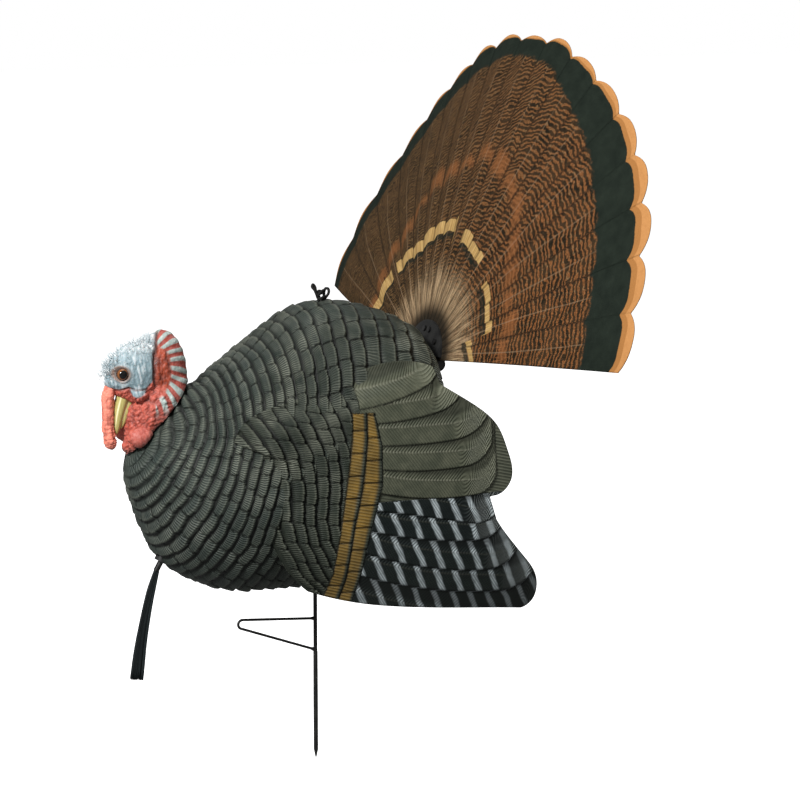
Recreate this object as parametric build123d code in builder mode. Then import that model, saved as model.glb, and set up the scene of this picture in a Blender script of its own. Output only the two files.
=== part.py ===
"""A strutting turkey decoy: a hollow moulded body with separate wings, a turning head, a hanging beard and a
folding tail fan, on a steel ground stake with a foot step.

Millimetres. +Z is up and the bird faces -X, so its left side is -Y. The origin is on the stake's axis at ground
level, just below the foot step. The heights in this file are measured from 8.5 mm above the ground, and save()
lifts every finished piece by that much.
"""

import os
from math import asin, atan, cos, degrees, radians, sin

from build123d import *

# ---------------------------------------------------------------- driving dimensions
ABOVE = (Align.CENTER, Align.CENTER, Align.MIN)     # for a cylinder that stands on its place
BELOW = (Align.CENTER, Align.CENTER, Align.MAX)     # for a cylinder that hangs from its place

WALL = 3.0                     # shell wall
GLUE_GAP = 0.1                 # gap between parts that are bonded or bolted face to face
RUN_GAP = 0.1                  # radial gap of a turning fit

SPIKE_RADIUS = 2.5             # part of the stake that goes into the ground
STAKE_RADIUS = 2.25            # part of the stake above the ground
SPIKE_TIP_Z = -131.0
SPIKE_TOP_Z = -8.5             # ground level, where the ground spike meets the rest of the stake
SPIKE_CONE = 9.0
STAKE_TOP_Z = 376.0

STEP_WIRE_RADIUS = 1.5
STEP_CORNER = (-122.0, 39.8)   # where the two straight runs of the wire would meet
STEP_LOW_Z = -6.4
STEP_HIGH_Z = 29.7
STEP_NOSE_RADIUS = 5.0
STEP_FLARE = 1.2               # how much wider than the wire the weld is at the stake
STEP_FLARE_LENGTH = 6.0

# Torso stations: distance along the body, belly height, back height, half width.
TORSO_NOSE = (-219.0, 0, 207.0)
TORSO_TAIL = (150.0, 0, 285.0)
TORSO_STATIONS = (
    (-211.0, 180.0, 243.0, 30.0),
    (-198.0, 144.0, 254.0, 51.0),
    (-181.0, 114.0, 266.0, 69.0),
    (-155.0, 93.0, 286.0, 87.0),
    (-119.0, 77.0, 315.0, 104.0),
    (-83.0, 70.0, 341.0, 116.0),
    (-40.0, 69.0, 371.0, 124.0),
    (5.0, 73.0, 387.0, 126.0),
    (40.0, 87.0, 384.0, 122.0),
    (80.0, 131.0, 372.0, 113.0),
    (112.0, 183.0, 356.0, 97.0),
    (128.0, 222.0, 342.0, 76.0),
    (142.0, 257.0, 317.0, 44.0),
)
COLLAR = (53.0, 36.0)          # half length and half width of the raised collar at the neck
COLLAR_ROOT = (75.0, 62.0)
COLLAR_DEPTH = 58.0
NECK_ORIGIN = (-184.0, 0, 269.5)
NECK_AXIS = (-0.746, 0, 0.665)
RUMP_X = 120.0
BELLY_Z = 78.0

NECK_HOLE_RADIUS = 22.0
NECK_BORE_RADIUS = 18.3
NECK_STAND_OFF = 2.0           # from the neck flat to the base of the head
NECK_FLANGE = 2.0              # thickness of the neck ring's flange, inside the shell
PLUG_BELOW = 2.5               # how far the neck insert reaches past the shell's inside

SCREW_RADIUS = 1.75
SCREW_HOLE_SLACK = 0.1
SCREW_LENGTH = 12.0
SCREW_HEAD_RADIUS = 3.2
SCREW_HEAD = 2.0
SCREW_BOSS_RADIUS = 4.5
SCREW_BOSS_LENGTH = 12.0

BELLY_SCREW_OFFSET = 11.3      # of the four screws, in x and in y
BELLY_PLATE_RADIUS = 22.0
BELLY_PLATE = 3.0
BELLY_BOSS_RADIUS = 8.0
BELLY_BOSS_TOP = 92.0
TUBE_RADIUS = 4.8
TUBE_SEAT = 8.0                # depth of the sockets at the tube's two ends
TOP_BLOCK_RADIUS = 11.0
TOP_BLOCK_LOW_Z = 359.0
CORD_RADIUS = 1.1
CORD_HOLE_X = 8.0
CORD_HOLE_RADIUS = 2.4
CORD_BORE_RADIUS = 1.5         # of the hole in the top block
CORD_KNOT_RADIUS = 2.6
CORD_STOPPER_RADIUS = 3.0
CORD_LOOPS = ((11.0, -1), (9.0, 1))                 # reach and side of each loop

# The wings lie on an ellipsoid centred on the bird's middle plane.
WING_CENTRE = (100.0, 0, 180.0)
WING_RADII = (380.0, 138.0, 300.0)
WING_THICKNESS = 3.5
WING_RIM_SCALE = 0.965         # the rim that turns in lies outside the outline shrunk by this
WING_RIM_DEPTH = 16.0
WING_BOSSES = ((-60.0, 250.0), (30.0, 285.0), (45.0, 190.0))
WING_BOSS_RADIUS = 6.0
WING_BLANK_Y = 60.0            # the side-view outline is extruded outwards from here
WING_SCREW_HEAD = (3.5, 2.2)   # radius and thickness
# The wing's outline in the side view, as runs of smooth curve that meet at corners.
WING_OUTLINE = (
    ((-128, 254), (-111, 241), (-103, 211), (-100, 175), (-92, 147), (-71, 109), (-52, 89)),
    ((-52, 89), (-16, 78), (13, 72), (108, 59), (198, 48)),
    ((198, 48), (214, 60), (214, 83), (197, 108), (177, 131), (159, 155)),
    ((159, 155), (150, 182)),
    ((150, 182), (170, 188), (177, 198), (173, 231), (161, 259), (140, 279), (99, 306)),
    ((99, 306), (93, 325)),
    ((93, 325), (27, 328), (-24, 310), (-64, 296), (-114, 276), (-128, 254)),
)

PIVOT = (144.0, 0, 309.5)
FAN_TILT = 15.2                # of the fan's base plane, back from upright
FAN_RADIUS = 384.0             # to the tip of the middle feather
FAN_SIDE_RADIUS = 378.0        # to the tips of the outermost feathers
FAN_SAG = 41.5                 # how far the fan's edge is swept back
FAN_HALF_ANGLE = 82.5
FAN_FEATHERS = 17
FAN_NOTCH = 6.0                # depth between two feather tips
FAN_FABRIC = 1.0
FAN_BASE_RADIUS = 20.0
RIB_RADIUS = 1.5
RIB_COUNT = 9
RIB_START, RIB_END = 26.0, 352.0
RIB_SPREAD = 76.0              # of the outermost ribs, each side of the middle one
RIB_BEHIND = 0.2               # gap between the ribs and the fabric
HUB_PLATE_RADIUS = 52.0
HUB_PLATE_LOW = 14.0           # flat lower edge of the plate, above the pivot
HUB_WEB_HIGH = 20.0
CLAMP_PLATE_RADIUS = 46.0
CLAMP_PLATE_LOW = 9.0
CLAMP_HOLES = ((-5.9, 35.5), (5.9, 35.5), (-26.5, 24.3), (26.5, 24.3))
# Layers of the fan along its own axis, measured from the pivot.
HUB_LOW, HUB_HIGH = 8.5, 12.9
FABRIC_LOW = 13.0
CLAMP_LOW, CLAMP_HIGH = 14.1, 16.6

BARREL_RADIUS = 8.0
BARREL_HALF = 9.9
BOLT_RADIUS = 3.0
BOLT_HEAD_RADIUS = 5.0
BOLT_HEAD = 3.5
BOLT_PAST_EAR = 12.0
WASHER_NEAR, WASHER_FAR = 10.1, 11.5
EAR_FAR = 16.5
EAR_FOOT_DROP = 16.0
BRACKET_SIZE = (62.0, 42.0)
BRACKET_CORNER = 5.0
BRACKET_DROP = 3.0             # of the plate's middle below the pivot
BRACKET_PLATE = 3.0
BRACKET_HOLES = tuple((y, z) for y in (-24.0, 24.0) for z in (292.5, 320.5))
NUT_RADIUS = 5.0
NUT_LENGTH = 7.0
NUT_WINGS = (24.0, 4.0)        # span and thickness
NUT_WING_FROM, NUT_WING_LENGTH = 2.5, 9.0
NUT_NOTCH = (11.0, 6.0)        # between the tips of the wings

HEAD_BASE = (49.5, 32.0)       # half length and half width where the neck meets the body
HEAD_CENTRE = (-196.0, 0, 321.0)
HEAD_RADII = (46.5, 26.0, 46.0)
HEAD_LEVELS = (0.0, 12.0, 22.0, 31.0, 38.0, 43.0)   # of the head's sections, above its centre
EYES = (-227.0, 17.5, 324.0)
EYE_RADIUS = 6.5
SNOOD = ((-233.0, 0, 313.0), (-238.5, 0, 292.0), (-238.0, 0, 262.0), (-232.5, 0, 243.0))
SNOOD_RADIUS = 6.0
BEAK = ((-221.0, 0, 304.0), (-229.0, 0, 258.0))
BEAK_RADIUS = 10.0
BEAK_TAPER = 8.5
WATTLE = (-204.0, 17.0, 252.0)
WATTLE_RADIUS = 15.0
STEM_RADIUS = 12.0
STEM_LENGTH = 28.0
NECK_WASHER = 1.5
NECK_SCREW_HEAD = (5.5, 2.9)   # radius and thickness
NECK_SCREW_RADIUS = 2.4
NECK_SCREW_LENGTH = 16.0

BEARD_ROOT = (-177.0, 0, 119.0)
BEARD_CUP_RADIUS = 8.0
BEARD_CUP_WALL = 2.0
BEARD_CUP_AXIS = (-0.5, 0, -0.866)
BEARD_CUP_LOW, BEARD_CUP_FLOOR, BEARD_CUP_HIGH = -9.0, -6.0, 8.0   # along the cup's axis
BEARD_PIN_RADIUS = 1.0
FERRULE_RADIUS = 3.2
FERRULE_EYE_WIDTH = 7.0
FERRULE_LENGTH = 19.0
BEARD_PATH = ((-184.5, 0, 107.0), (-195.0, 0, 72.0), (-204.0, 0, 28.0), (-211.0, 0, -18.0))
BEARD_WIDTHS = ((5.6, 4.4), (7.0, 5.0), (9.5, 6.0), (14.0, 7.0))

fan_dome_radius = (FAN_RADIUS**2 + FAN_SAG**2) / (2 * FAN_SAG)
fan_up = Vector(sin(radians(FAN_TILT)), 0, cos(radians(FAN_TILT)))
fan_front = Vector(-cos(radians(FAN_TILT)), 0, sin(radians(FAN_TILT)))
fan_plane = Plane(origin=PIVOT, x_dir=(0, -1, 0), z_dir=fan_front)
neck_plane = Plane(origin=NECK_ORIGIN, x_dir=(0, -1, 0), z_dir=NECK_AXIS)
beard_cup_plane = Plane(origin=BEARD_ROOT, x_dir=(0, 1, 0), z_dir=BEARD_CUP_AXIS)
rump_plane = Plane(origin=(RUMP_X, 0, 0), x_dir=(0, 1, 0), z_dir=(1, 0, 0))
left_side = Plane.XZ           # its normal is -Y
os.makedirs("parts", exist_ok=True)


def save(piece, name):
    """Lifts a finished piece so that the ground is at zero, labels it and writes its STEP file."""
    lifted = piece.moved(Location((0, 0, -SPIKE_TOP_Z)))
    lifted.label = name
    export_step(lifted, f"parts/{name}.step")


def torso_form(inset):
    """The torso's outer form shrunk by inset, cut flat at the neck, the rump and the belly."""
    stations = []
    for x, low, high, half_width in TORSO_STATIONS:
        with BuildSketch(Plane.YZ.offset(x)) as station:
            with Locations((0, (low + high) / 2)):
                Ellipse(half_width - inset, (high - low) / 2 - inset)
        stations.append(station.sketch)
    nose = Vertex(TORSO_NOSE[0] + inset, 0, TORSO_NOSE[2])
    tail = Vertex(TORSO_TAIL[0] - inset, 0, TORSO_TAIL[2])
    with BuildSketch(neck_plane) as collar:
        Ellipse(COLLAR[1] - inset, COLLAR[0] - inset)
    with BuildSketch(neck_plane.offset(-COLLAR_DEPTH)) as collar_root:
        Ellipse(COLLAR_ROOT[1] - inset, COLLAR_ROOT[0] - inset)
    with BuildPart() as form:
        loft([nose, *stations, tail])
        loft([collar.sketch, collar_root.sketch])
        for flat in (
            neck_plane,
            Plane(origin=(RUMP_X, 0, 0), z_dir=(1, 0, 0)),
            Plane(origin=(0, 0, BELLY_Z), z_dir=(0, 0, -1)),
        ):
            split(bisect_by=flat.offset(-inset), keep=Keep.BOTTOM)
    return form.part


def slab(y_low, y_high):
    """A wide block between two planes across the body."""
    with BuildPart() as block:
        with Locations((0, (y_low + y_high) / 2, 250)):
            Box(600, y_high - y_low, 600)
    return block.part


# ---------------------------------------------------------------- stake
def make_ground_stake():
    with BuildPart() as stake:
        with BuildSketch(Plane.XZ):
            with BuildLine():
                Polyline(
                    (0, SPIKE_TIP_Z),
                    (0.7, SPIKE_TIP_Z),
                    (SPIKE_RADIUS, SPIKE_TIP_Z + SPIKE_CONE),
                    (SPIKE_RADIUS, SPIKE_TOP_Z),
                    (STAKE_RADIUS, SPIKE_TOP_Z),
                    (STAKE_RADIUS, STAKE_TOP_Z - 1.5),
                    (STAKE_RADIUS - 1.5, STAKE_TOP_Z),
                    (0, STAKE_TOP_Z),
                    close=True,
                )
            make_face()
        revolve(axis=Axis.Z)
    return stake.part


def make_foot_step():
    """A bent wire that runs out from the stake and back, with a weld flare at each end."""
    with BuildPart() as step:
        with BuildLine(Plane.XZ) as wire:
            FilletPolyline((0, STEP_HIGH_Z), STEP_CORNER, (0, STEP_LOW_Z), radius=STEP_NOSE_RADIUS)
        with BuildSketch(Plane(origin=wire.wire() @ 0, z_dir=wire.wire() % 0)):
            Circle(STEP_WIRE_RADIUS)
        sweep()
        for z in (STEP_HIGH_Z, STEP_LOW_Z):
            slope = (z - STEP_CORNER[1]) / STEP_CORNER[0]
            middle = (-STEP_FLARE_LENGTH / 2, 0, z + slope * STEP_FLARE_LENGTH / 2)
            with Locations(Location(middle, (0, degrees(atan(slope)) - 90, 0))):
                Cone(STEP_WIRE_RADIUS + STEP_FLARE, STEP_WIRE_RADIUS, STEP_FLARE_LENGTH)
        with Locations((0, 0, STEP_HIGH_Z / 2)):
            Cylinder(STAKE_RADIUS, STEP_HIGH_Z * 2, mode=Mode.SUBTRACT)
        split(bisect_by=Plane(origin=(0, 0, 0), z_dir=(1, 0, 0)), keep=Keep.BOTTOM)
        split(bisect_by=Plane(origin=(0, 0, SPIKE_TOP_Z + GLUE_GAP), z_dir=(0, 0, 1)), keep=Keep.TOP)
    return step.part


# ---------------------------------------------------------------- body
def belly_screw_places(z):
    sides = (-BELLY_SCREW_OFFSET, BELLY_SCREW_OFFSET)
    return [Location((x, y, z)) for x in sides for y in sides]


def wing_inner_y(x, z):
    """Half width of the wing's inner face at a point of the side view."""
    a, b, c = (r - WING_THICKNESS for r in WING_RADII)
    across = 1 - ((x - WING_CENTRE[0]) / a) ** 2 - ((z - WING_CENTRE[2]) / c) ** 2
    return b * across**0.5


def make_shells():
    """The two halves of the torso. The right half has a tongue that fits in a rebate of the left half."""
    outer, inner = torso_form(0), torso_form(WALL)
    tongue_form, rebate_form = torso_form(WALL / 2), torso_form(WALL / 2 - GLUE_GAP)
    with BuildPart() as hollow:
        add(outer)
        add(inner, mode=Mode.SUBTRACT)
        with BuildPart(mode=Mode.PRIVATE) as bosses:
            with Locations(*belly_screw_places(BELLY_Z + WALL + 4)):
                Cylinder(SCREW_BOSS_RADIUS, SCREW_BOSS_LENGTH)
            with Locations(*(Location((RUMP_X - WALL - 4, y, z)) for y, z in BRACKET_HOLES)):
                Cylinder(SCREW_BOSS_RADIUS, SCREW_BOSS_LENGTH, rotation=(0, 90, 0))
        add(bosses.part & outer)
    with BuildPart() as openings:
        with Locations((0, 0, BELLY_Z)):
            Cylinder(BELLY_BOSS_RADIUS + GLUE_GAP, 20)
        with Locations(*belly_screw_places(BELLY_Z + 4)):
            Cylinder(SCREW_RADIUS, 14)
        with Locations(*(Location((RUMP_X - 4, y, z)) for y, z in BRACKET_HOLES)):
            Cylinder(SCREW_RADIUS, 14, rotation=(0, 90, 0))
        with Locations(neck_plane):
            Cylinder(NECK_HOLE_RADIUS, 20)
        with Locations(beard_cup_plane):
            Cylinder(BEARD_CUP_RADIUS, 30)
        with Locations((CORD_HOLE_X, 0, 390)):
            Cylinder(CORD_HOLE_RADIUS, 30)
        for x, z in WING_BOSSES:
            with Locations((x, 0, z)):
                Cylinder(SCREW_RADIUS + 0.2, 400, rotation=(90, 0, 0))
    with BuildPart() as left:
        add(hollow.part & slab(-200, 0))
        add(rebate_form & slab(-4 - GLUE_GAP, 0) & (outer - inner), mode=Mode.SUBTRACT)
        add(openings.part, mode=Mode.SUBTRACT)
    with BuildPart() as right:
        add(hollow.part & slab(0, 200))
        add((tongue_form - inner) & slab(-4, 0))
        add(openings.part, mode=Mode.SUBTRACT)
    return left.part, right.part, outer


def wing_form(inset):
    """The ellipsoid that the wings lie on, shrunk by inset."""
    with BuildPart() as form:
        Sphere(1)
        scale(by=tuple(radius - inset for radius in WING_RADII))
    return form.part.moved(Location(WING_CENTRE))


def make_wing(torso_clearance):
    """The left wing: a thin panel with a rim turned in and bosses that sit on the torso."""
    outer = wing_form(0)
    with BuildPart() as blank:
        with BuildSketch(left_side.offset(WING_BLANK_Y)):
            with BuildLine():
                for run in WING_OUTLINE:
                    if len(run) == 2:
                        Line(*run)
                    else:
                        Spline(*run)
            make_face()
        extrude(amount=100)
    centre = (WING_CENTRE[0] - 60, -110, WING_CENTRE[2] + 10)
    core = scale(blank.part, about=centre, by=WING_RIM_SCALE, mode=Mode.PRIVATE)
    with BuildPart() as rim:
        add(blank.part - core)
        add(outer, mode=Mode.INTERSECT)
        add(wing_form(WING_RIM_DEPTH), mode=Mode.SUBTRACT)
    with BuildPart() as bosses:
        for x, z in WING_BOSSES:
            with BuildSketch(left_side.offset(WING_BLANK_Y)):
                with Locations((x, z)):
                    Circle(WING_BOSS_RADIUS)
                    Circle(SCREW_RADIUS, mode=Mode.SUBTRACT)
            extrude(amount=wing_inner_y(x, z) - WING_BLANK_Y)
    with BuildPart() as whole:
        add(blank.part)
        add(outer, mode=Mode.INTERSECT)
        add(wing_form(WING_THICKNESS), mode=Mode.SUBTRACT)
        add(rim.part)
        add(bosses.part)
        add(torso_clearance, mode=Mode.SUBTRACT)
    return whole.part


def make_wing_screws(torso_inner):
    """Pan-head screws driven outwards from inside the shell into the wing bosses."""
    with BuildPart() as screws:
        for x, z in WING_BOSSES:
            hit = torso_inner.find_intersection_points(Axis((x, 0, z), (0, -1, 0)))
            seat = abs(min(point.Y for point, _ in hit)) - 2
            tip = wing_inner_y(x, z) - 0.5
            for side in (-1, 1):
                with Locations(Location((x, side * (seat + tip) / 2, z), (90, 0, 0))):
                    Cylinder(SCREW_RADIUS - SCREW_HOLE_SLACK, tip - seat)
                with Locations(Location((x, side * (seat - WING_SCREW_HEAD[1] / 2), z), (90, 0, 0))):
                    Cylinder(*WING_SCREW_HEAD)
    return screws.part


def make_belly_plate():
    with BuildPart() as plate:
        with BuildSketch(Plane.XY.offset(BELLY_Z - BELLY_PLATE)):
            Circle(BELLY_PLATE_RADIUS)
        extrude(amount=BELLY_PLATE)
        with BuildSketch(Plane.XY.offset(BELLY_Z)):
            Circle(BELLY_BOSS_RADIUS)
        extrude(amount=BELLY_BOSS_TOP - BELLY_Z)
        with BuildSketch(Plane.XY.offset(BELLY_Z - BELLY_PLATE)):
            Circle(STAKE_RADIUS + RUN_GAP)
        extrude(amount=BELLY_PLATE + BELLY_BOSS_TOP - BELLY_Z, mode=Mode.SUBTRACT)
        with BuildSketch(Plane.XY.offset(BELLY_BOSS_TOP)):
            Circle(TUBE_RADIUS)
        extrude(amount=-TUBE_SEAT, mode=Mode.SUBTRACT)
        with Locations(*belly_screw_places(BELLY_Z)):
            Cylinder(SCREW_RADIUS, 4 * BELLY_PLATE, mode=Mode.SUBTRACT)
        chamfer(plate.edges().group_by(Axis.Z)[0].sort_by(SortBy.LENGTH)[-1], 1)
    return plate.part


def make_belly_screws():
    with BuildPart() as screws:
        with Locations(*belly_screw_places(BELLY_Z - BELLY_PLATE)):
            Cylinder(SCREW_RADIUS - SCREW_HOLE_SLACK, SCREW_LENGTH, align=ABOVE)
            Cylinder(SCREW_HEAD_RADIUS, SCREW_HEAD, align=BELOW)
    return screws.part


def make_stake_tube():
    """The tube inside the body that turns on the stake."""
    with BuildPart() as tube:
        with BuildSketch(Plane.XY.offset(BELLY_BOSS_TOP - TUBE_SEAT)):
            Circle(TUBE_RADIUS)
            Circle(STAKE_RADIUS + RUN_GAP, mode=Mode.SUBTRACT)
        extrude(amount=TOP_BLOCK_LOW_Z + TUBE_SEAT - BELLY_BOSS_TOP + TUBE_SEAT)
    return tube.part


def make_top_block(torso_inner):
    """The block glued under the back that caps the tube and rests on the top of the stake."""
    with BuildPart() as block:
        with Locations((CORD_HOLE_X / 2, 0, TOP_BLOCK_LOW_Z)):
            Cylinder(TOP_BLOCK_RADIUS, 40, align=ABOVE)
        add(torso_inner, mode=Mode.INTERSECT)
        with Locations((0, 0, TOP_BLOCK_LOW_Z)):
            Cylinder(TUBE_RADIUS, 2 * TUBE_SEAT, mode=Mode.SUBTRACT)
            stake_socket = STAKE_TOP_Z - TOP_BLOCK_LOW_Z + RUN_GAP
            Cylinder(STAKE_RADIUS + RUN_GAP, 2 * stake_socket, mode=Mode.SUBTRACT)
        with Locations((CORD_HOLE_X, 0, TOP_BLOCK_LOW_Z)):
            Cylinder(CORD_BORE_RADIUS, 80, mode=Mode.SUBTRACT)
    return block.part


def make_cord(back_z):
    """The carrying cord: a stopper knot inside, a knot on the back and two small loops."""
    knot_z = back_z + CORD_KNOT_RADIUS
    with BuildPart() as cord:
        with BuildLine() as tail:
            Line((CORD_HOLE_X, 0, TOP_BLOCK_LOW_Z - 3), (CORD_HOLE_X, 0, knot_z))
        with BuildSketch(Plane(origin=tail.wire() @ 0, z_dir=(0, 0, 1))):
            Circle(CORD_RADIUS)
        sweep()
        for reach, side in CORD_LOOPS:
            with BuildLine() as loop:
                Spline(
                    (CORD_HOLE_X - 1.5, side, knot_z),
                    (CORD_HOLE_X - reach * 0.8, side * reach * 0.5, knot_z + 3.5),
                    (CORD_HOLE_X - reach * 0.3, side * reach * 1.1, knot_z + 4),
                    (CORD_HOLE_X + reach * 0.4, side * reach * 0.6, knot_z + 2),
                    (CORD_HOLE_X + 1.5, side, knot_z),
                )
            with BuildSketch(Plane(origin=loop.wire() @ 0, z_dir=loop.wire() % 0)):
                Circle(CORD_RADIUS)
            sweep()
        with Locations((CORD_HOLE_X, 0, knot_z)):
            Sphere(CORD_KNOT_RADIUS)
        with Locations((CORD_HOLE_X, 0, TOP_BLOCK_LOW_Z - CORD_STOPPER_RADIUS - 0.2)):
            Sphere(CORD_STOPPER_RADIUS)
    return cord.part


def make_neck_ring():
    """The bush in the neck hole, with a flange on the inside of the shell."""
    with BuildPart() as ring:
        with BuildSketch(neck_plane.offset(-WALL - NECK_FLANGE)):
            Circle(NECK_HOLE_RADIUS + 5)
            Circle(NECK_BORE_RADIUS, mode=Mode.SUBTRACT)
        extrude(amount=NECK_FLANGE - GLUE_GAP)
        with BuildSketch(neck_plane.offset(-WALL - 1)):
            Circle(NECK_HOLE_RADIUS - GLUE_GAP)
            Circle(NECK_BORE_RADIUS, mode=Mode.SUBTRACT)
        extrude(amount=WALL + 2.3)
    return ring.part


def make_beard_socket():
    with BuildPart() as socket:
        with BuildSketch(beard_cup_plane.offset(BEARD_CUP_LOW)):
            Circle(BEARD_CUP_RADIUS - GLUE_GAP)
        extrude(amount=BEARD_CUP_HIGH - BEARD_CUP_LOW)
        with BuildSketch(beard_cup_plane.offset(BEARD_CUP_FLOOR)):
            Circle(BEARD_CUP_RADIUS - BEARD_CUP_WALL)
        extrude(amount=BEARD_CUP_HIGH - BEARD_CUP_FLOOR + 1, mode=Mode.SUBTRACT)
        with Locations(Location(BEARD_ROOT, (90, 0, 0))):
            Cylinder(BEARD_PIN_RADIUS, 40, mode=Mode.SUBTRACT)
    return socket.part


def make_beard_pin():
    with BuildPart() as pin:
        with Locations(Location(BEARD_ROOT, (90, 0, 0))):
            Cylinder(BEARD_PIN_RADIUS, 2 * (BEARD_CUP_RADIUS - 0.5))
    return pin.part


def make_fan_bracket():
    """A plate on the rump with two ears that hold the fan's pivot bolt."""
    with BuildPart() as bracket:
        with BuildSketch(rump_plane):
            with Locations((0, PIVOT[2] - BRACKET_DROP)):
                RectangleRounded(*BRACKET_SIZE, BRACKET_CORNER)
            with Locations(*BRACKET_HOLES):
                Circle(SCREW_RADIUS, mode=Mode.SUBTRACT)
        extrude(amount=BRACKET_PLATE)
        for side in (-1, 1):
            with BuildSketch(left_side.offset(side * (WASHER_FAR + EAR_FAR) / 2)):
                with Locations((PIVOT[0], PIVOT[2])):
                    Circle(BARREL_RADIUS)
                with BuildLine():
                    Polyline(
                        (RUMP_X, PIVOT[2] - EAR_FOOT_DROP),
                        (PIVOT[0], PIVOT[2] - BARREL_RADIUS),
                        (PIVOT[0], PIVOT[2] + BARREL_RADIUS),
                        (RUMP_X, PIVOT[2] + BARREL_RADIUS),
                        close=True,
                    )
                make_face()
                with Locations((PIVOT[0], PIVOT[2])):
                    Circle(BOLT_RADIUS, mode=Mode.SUBTRACT)
            extrude(amount=(EAR_FAR - WASHER_FAR) / 2, both=True)
    return bracket.part


def make_bracket_screws():
    with BuildPart() as screws:
        for y, z in BRACKET_HOLES:
            with Locations(Location((RUMP_X + BRACKET_PLATE, y, z), (0, 90, 0))):
                Cylinder(SCREW_RADIUS - SCREW_HOLE_SLACK, SCREW_LENGTH, align=BELOW)
                Cylinder(SCREW_HEAD_RADIUS, SCREW_HEAD, align=ABOVE)
    return screws.part


def on_pivot(y):
    """A plane across the pivot axis at y, looking along +Y."""
    return Plane(origin=(PIVOT[0], y, PIVOT[2]), x_dir=(1, 0, 0), z_dir=(0, 1, 0))


def make_pivot_bolt():
    with BuildPart() as bolt:
        with BuildSketch(on_pivot(-EAR_FAR - BOLT_HEAD)):
            RegularPolygon(BOLT_HEAD_RADIUS, 6)
        extrude(amount=BOLT_HEAD)
        with BuildSketch(on_pivot(-EAR_FAR)):
            Circle(BOLT_RADIUS)
        extrude(amount=2 * EAR_FAR + BOLT_PAST_EAR)
    return bolt.part


def make_friction_washers():
    with BuildPart() as washers:
        for y in (-WASHER_FAR, WASHER_NEAR):
            with BuildSketch(on_pivot(y)):
                Circle(BARREL_RADIUS - 0.5)
                Circle(BOLT_RADIUS, mode=Mode.SUBTRACT)
            extrude(amount=WASHER_FAR - WASHER_NEAR)
    return washers.part


def make_wing_nut():
    with BuildPart() as nut:
        with BuildSketch(on_pivot(EAR_FAR + RUN_GAP)):
            Circle(NUT_RADIUS)
        extrude(amount=NUT_LENGTH, taper=6)
        with BuildSketch(on_pivot(EAR_FAR + NUT_WING_FROM)):
            SlotOverall(*NUT_WINGS)
        extrude(amount=NUT_WING_LENGTH)
        with BuildSketch(on_pivot(EAR_FAR + NUT_LENGTH + 1)):
            Rectangle(*NUT_NOTCH)
        extrude(amount=NUT_WING_LENGTH, mode=Mode.SUBTRACT)
        with BuildSketch(on_pivot(EAR_FAR)):
            Circle(BOLT_RADIUS + RUN_GAP)
        extrude(amount=20, mode=Mode.SUBTRACT)
    return nut.part


# ---------------------------------------------------------------- fan
def dome(level):
    """The ball whose front is the fan's domed surface, level in front of the pivot."""
    with BuildPart() as ball:
        Sphere(fan_dome_radius)
    return ball.part.moved(Location(Vector(*PIVOT) + fan_front * (level - fan_dome_radius)))


def make_fan_fabric():
    """The printed fan: a sector of the dome with one rounded tip to each feather."""
    step = 2 * FAN_HALF_ANGLE / FAN_FEATHERS

    def at(radius, angle):
        return (radius * sin(radians(angle)), radius * cos(radians(angle)))

    def tip(angle):
        return FAN_RADIUS - (FAN_RADIUS - FAN_SIDE_RADIUS) * abs(angle / FAN_HALF_ANGLE) ** 3

    with BuildPart() as fabric:
        with BuildSketch(fan_plane):
            with BuildLine():
                for index in range(FAN_FEATHERS):
                    start = -FAN_HALF_ANGLE + index * step
                    ThreePointArc(
                        at(tip(start) - FAN_NOTCH, start),
                        at(tip(start + step / 2), start + step / 2),
                        at(tip(start + step) - FAN_NOTCH, start + step),
                    )
                Line(at(FAN_SIDE_RADIUS - FAN_NOTCH, FAN_HALF_ANGLE), at(FAN_BASE_RADIUS, FAN_HALF_ANGLE))
                ThreePointArc(
                    at(FAN_BASE_RADIUS, FAN_HALF_ANGLE),
                    at(FAN_BASE_RADIUS, 0),
                    at(FAN_BASE_RADIUS, -FAN_HALF_ANGLE),
                )
                Line(at(FAN_BASE_RADIUS, -FAN_HALF_ANGLE), at(FAN_SIDE_RADIUS - FAN_NOTCH, -FAN_HALF_ANGLE))
            make_face()
            with Locations(*CLAMP_HOLES):
                Circle(SCREW_RADIUS, mode=Mode.SUBTRACT)
        extrude(amount=60, both=True)
        add(dome(FABRIC_LOW + FAN_FABRIC), mode=Mode.INTERSECT)
        add(dome(FABRIC_LOW), mode=Mode.SUBTRACT)
    return fabric.part


def rib_angles():
    return [-RIB_SPREAD + index * 2 * RIB_SPREAD / (RIB_COUNT - 1) for index in range(RIB_COUNT)]


def make_fan_ribs():
    """Round spring-wire ribs that follow the back of the fan."""
    level = FABRIC_LOW - RIB_RADIUS - RIB_BEHIND
    path_radius = fan_dome_radius
    start_turn = degrees(asin(RIB_START / path_radius))
    sweep_turn = degrees(asin(RIB_END / path_radius)) - start_turn
    centre = Vector(*PIVOT) + fan_front * (level - path_radius)
    with BuildPart() as ribs:
        for angle in rib_angles():
            out = Vector(0, -sin(radians(angle)), 0) + fan_up * cos(radians(angle))
            frame = Plane(origin=centre, x_dir=fan_front, z_dir=fan_front.cross(out))
            with BuildLine(frame) as path:
                CenterArc((0, 0), path_radius, start_turn, sweep_turn)
            with BuildSketch(Plane(origin=path.wire() @ 0, z_dir=path.wire() % 0)):
                Circle(RIB_RADIUS)
            sweep()
    return ribs.part


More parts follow.
